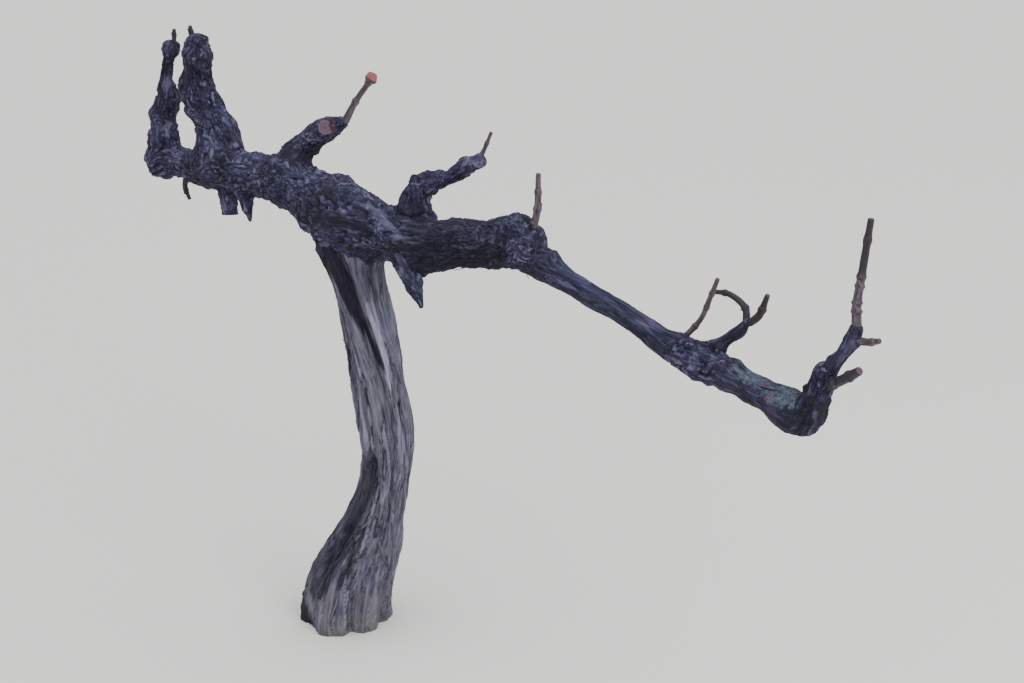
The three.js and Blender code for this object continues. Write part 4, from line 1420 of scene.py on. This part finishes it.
def cane_skin(name, limb, columns, *finishes):
    """A cane's or a bud's skin with its fine lines, and its finishes: of its bark, and of its cut face."""
    seed = seed_of(name)
    girth = float(np.mean(limb.table["radii"]))

    def shape(bearing, row, outward):
        straight = tube(limb, bearing, row, girth, CANE_LEAST_TUBE, seed)
        line = layered(straight / CANE_LINE, seed, 2)
        kept = {
            "straight": straight,
            "ridge": 0.5 + 0.25 * line,
            "tone": 0.5 + 0.3 * line,
            "cut": limb.flat[row],
            **{weather: np.zeros(len(bearing)) for weather in ("bleached", *WEATHERING)},
        }
        # Past the given length the cane takes the darker damp and painted-shade colours
        if "damp" in limb.table:
            kept["damp"] = ease(limb.along[row] - limb.table["damp"], -CANE_DAMP_AND_SHADE_FADE, 0)
        relief = CANE_LINE_HEIGHT * line * (1 - limb.flat[row])
        return (limb.radius_at(limb.share[row], bearing) + relief) * limb.keep[row], kept

    piece = wrap(name, columns, limb, shape)
    assign(piece, *(FINISHES[finish] for finish in finishes))
    if len(finishes) > 1:
        mark_cut_face(piece)
    return piece


def make_cane(name, table):
    """One cane by the rule of its solid: buds at even steps, by turns on its two sides, and a cut end."""
    random = seeded_random(name)
    length = curve_length(table["joints"])
    count = max(1, round(length / BUD_SPACING) - 1)
    places = [round(i / (count + BUD_GAP) * CANE_RINGS) / CANE_RINGS for i in range(1, count + 1)]
    columns, step = CANE_GRID
    stem = Limb(name, {**table, "sawn": True}, cane_radius(table, places), FIRST_ACROSS["cane"])
    stem.lay_rows(step)
    parts = [cane_skin(name + "_cane", stem, columns, "ripened_cane_bark", "weathered_sawn_vine_wood")]
    rows = stem.body_rows()
    for i, place in enumerate(places):
        row = rows[round(place * (len(rows) - 1))]
        radius = float(smooth_value(table["radii"], np.array([place]))[0])
        reach = radius * (BUD_REACH[0] + BUD_REACH[1] * next(random))
        side = 1 if i % 2 == 0 else -1
        ahead = np.cross(stem.across[row], stem.up[row])
        out = unit(stem.across[row] * side + ahead * BUD_LEAN)
        start = stem.middle[row]
        bud = {
            "joints": (start, start + out * reach * 0.5, start + out * (reach - 0.5 * radius)),
            "radii": [share * radius for share in BUD_TAPER],
        }
        # A bud past that length takes those darker colours too
        if stem.along[row] > table.get("damp", length):
            bud["damp"] = 0
        columns, step = BUD_GRID
        limb = Limb(name, bud, cane_radius(bud, ()), stem.up[row])
        parts.append(cane_skin(name + "_bud", limb.lay_rows(step), columns, "ripened_cane_bark"))
    if "knob" in table:
        parts.append(make_knob(name, stem, table["knob"]))
    for part in parts:
        part.select_set(True)
    bpy.context.view_layer.objects.active = parts[0]
    bpy.ops.object.join()
    return parts[0]


def make_knob(name, stem, radius):
    """The swollen end of a cane, cut off fresh."""
    last = stem.body_rows()[-1]
    ahead = np.cross(stem.across[last], stem.up[last])
    middle = stem.middle[last]
    start, end = KNOB_ENDS
    table = {
        "joints": (middle + ahead * radius * start, middle, middle + ahead * radius * end),
        "radii": [radius * share for share in KNOB_TAPER],
        "sawn": True,
    }

    def radius_at(share, bearing):
        along = start + share * (end - start)
        lump = 1 + 0.09 * np.sin(3 * bearing + 5 * share) + 0.05 * np.sin(5 * bearing - 4 * share)
        return radius * 0.98 * np.sqrt(np.maximum(0.05, 1.02 - along**2)) * lump

    columns, step = KNOB_GRID
    limb = Limb(name, table, radius_at, FIRST_ACROSS["cane"]).lay_rows(step)
    limb.flat[limb.along > radius * KNOB_FACE] = 1
    return cane_skin(name + "_knob", limb, columns, "ripened_cane_bark", "fresh_cut_vine_wood")


def aim(place, target, up):
    """The rotation of a camera or light at a place that looks at a target."""
    back = (Vector(place) - Vector(target)).normalized()
    right = Vector(up).cross(back).normalized()
    return Matrix((right, back.cross(right), back)).transposed().to_euler()


def make_stage(context, sizes):
    """The pale floor, the light from all round, above and the right, and the camera."""
    deselect_all()
    bpy.ops.mesh.primitive_plane_add(size=sizes.floor_width, location=(0, 0, 0))
    floor = bpy.context.object
    floor.name = "floor"
    paper, tree = new_material("matt_studio_paper")
    finish_tree(tree, {"Base Color": sizes.floor_colour, "Roughness": 0.95})
    assign(floor, paper)
    world = bpy.data.worlds.new("soft_grey_sky")
    context.scene.world = world
    world.use_nodes = True
    background = world.node_tree.nodes["Background"]
    background.inputs["Color"].default_value = linear("#e3e4e7")
    background.inputs["Strength"].default_value = sizes.sky_strength
    # A sun as wide as half the sky falls off nowhere, so the floor is even to its far edge
    turn = aim(OVERHEAD_PLACE, LIT_POINT, (0, 1, 0))
    bpy.ops.object.light_add(type="SUN", location=OVERHEAD_PLACE, rotation=turn)
    overhead = bpy.context.object
    overhead.name = "overhead_soft_light"
    overhead.data.angle = math.radians(OVERHEAD_SPREAD)
    overhead.data.energy = sizes.overhead_strength
    turn = aim(SIDE_PLACE, LIT_POINT, (0, 0, 1))
    bpy.ops.object.light_add(type="AREA", location=SIDE_PLACE, rotation=turn)
    side = bpy.context.object
    side.name = "right_softbox"
    side.data.size = SIDE_WIDTH
    side.data.energy = sizes.side_power
    turn = aim(CAMERA_PLACE, CAMERA_TARGET, CAMERA_UP)
    bpy.ops.object.camera_add(location=CAMERA_PLACE, rotation=turn)
    camera = bpy.context.object
    camera.name = "photograph_camera"
    camera.data.lens = CAMERA_LENS
    camera.data.sensor_width = FILM_WIDTH
    context.scene.camera = camera


class GRAPEVINE_PT_panel(bpy.types.Panel):
    """Lists the vine's steps in the sidebar"""

    bl_idname = "GRAPEVINE_PT_panel"
    bl_label = "Grapevine"
    bl_space_type = "VIEW_3D"
    bl_region_type = "UI"
    bl_category = "Grapevine"

    def draw(self, context):
        for group in (context.scene.grapevine_bark, context.scene.grapevine_stage):
            for key in group.__annotations__:
                self.layout.prop(group, key)
        for operator in OPERATORS:
            self.layout.operator(operator.bl_idname)


OPERATORS = (
    GRAPEVINE_OT_trunk,
    GRAPEVINE_OT_boughs,
    GRAPEVINE_OT_loose_bark,
    GRAPEVINE_OT_canes,
    GRAPEVINE_OT_stage,
)
CLASSES = (GrapevineBark, GrapevineStage, *OPERATORS, GRAPEVINE_PT_panel)
FINISHES = {}


def register():
    for made in CLASSES:
        bpy.utils.register_class(made)
    bpy.types.Scene.grapevine_bark = bpy.props.PointerProperty(type=GrapevineBark)
    bpy.types.Scene.grapevine_stage = bpy.props.PointerProperty(type=GrapevineStage)


def unregister():
    del bpy.types.Scene.grapevine_bark
    del bpy.types.Scene.grapevine_stage
    for made in reversed(CLASSES):
        bpy.utils.unregister_class(made)


def main():
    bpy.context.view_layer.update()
    register()
    FINISHES.update(make_materials())
    bpy.ops.grapevine.trunk()
    bpy.ops.grapevine.boughs()
    bpy.ops.grapevine.loose_bark()
    bpy.ops.grapevine.canes()
    bpy.ops.grapevine.stage()


if __name__ == "__main__":
    main()
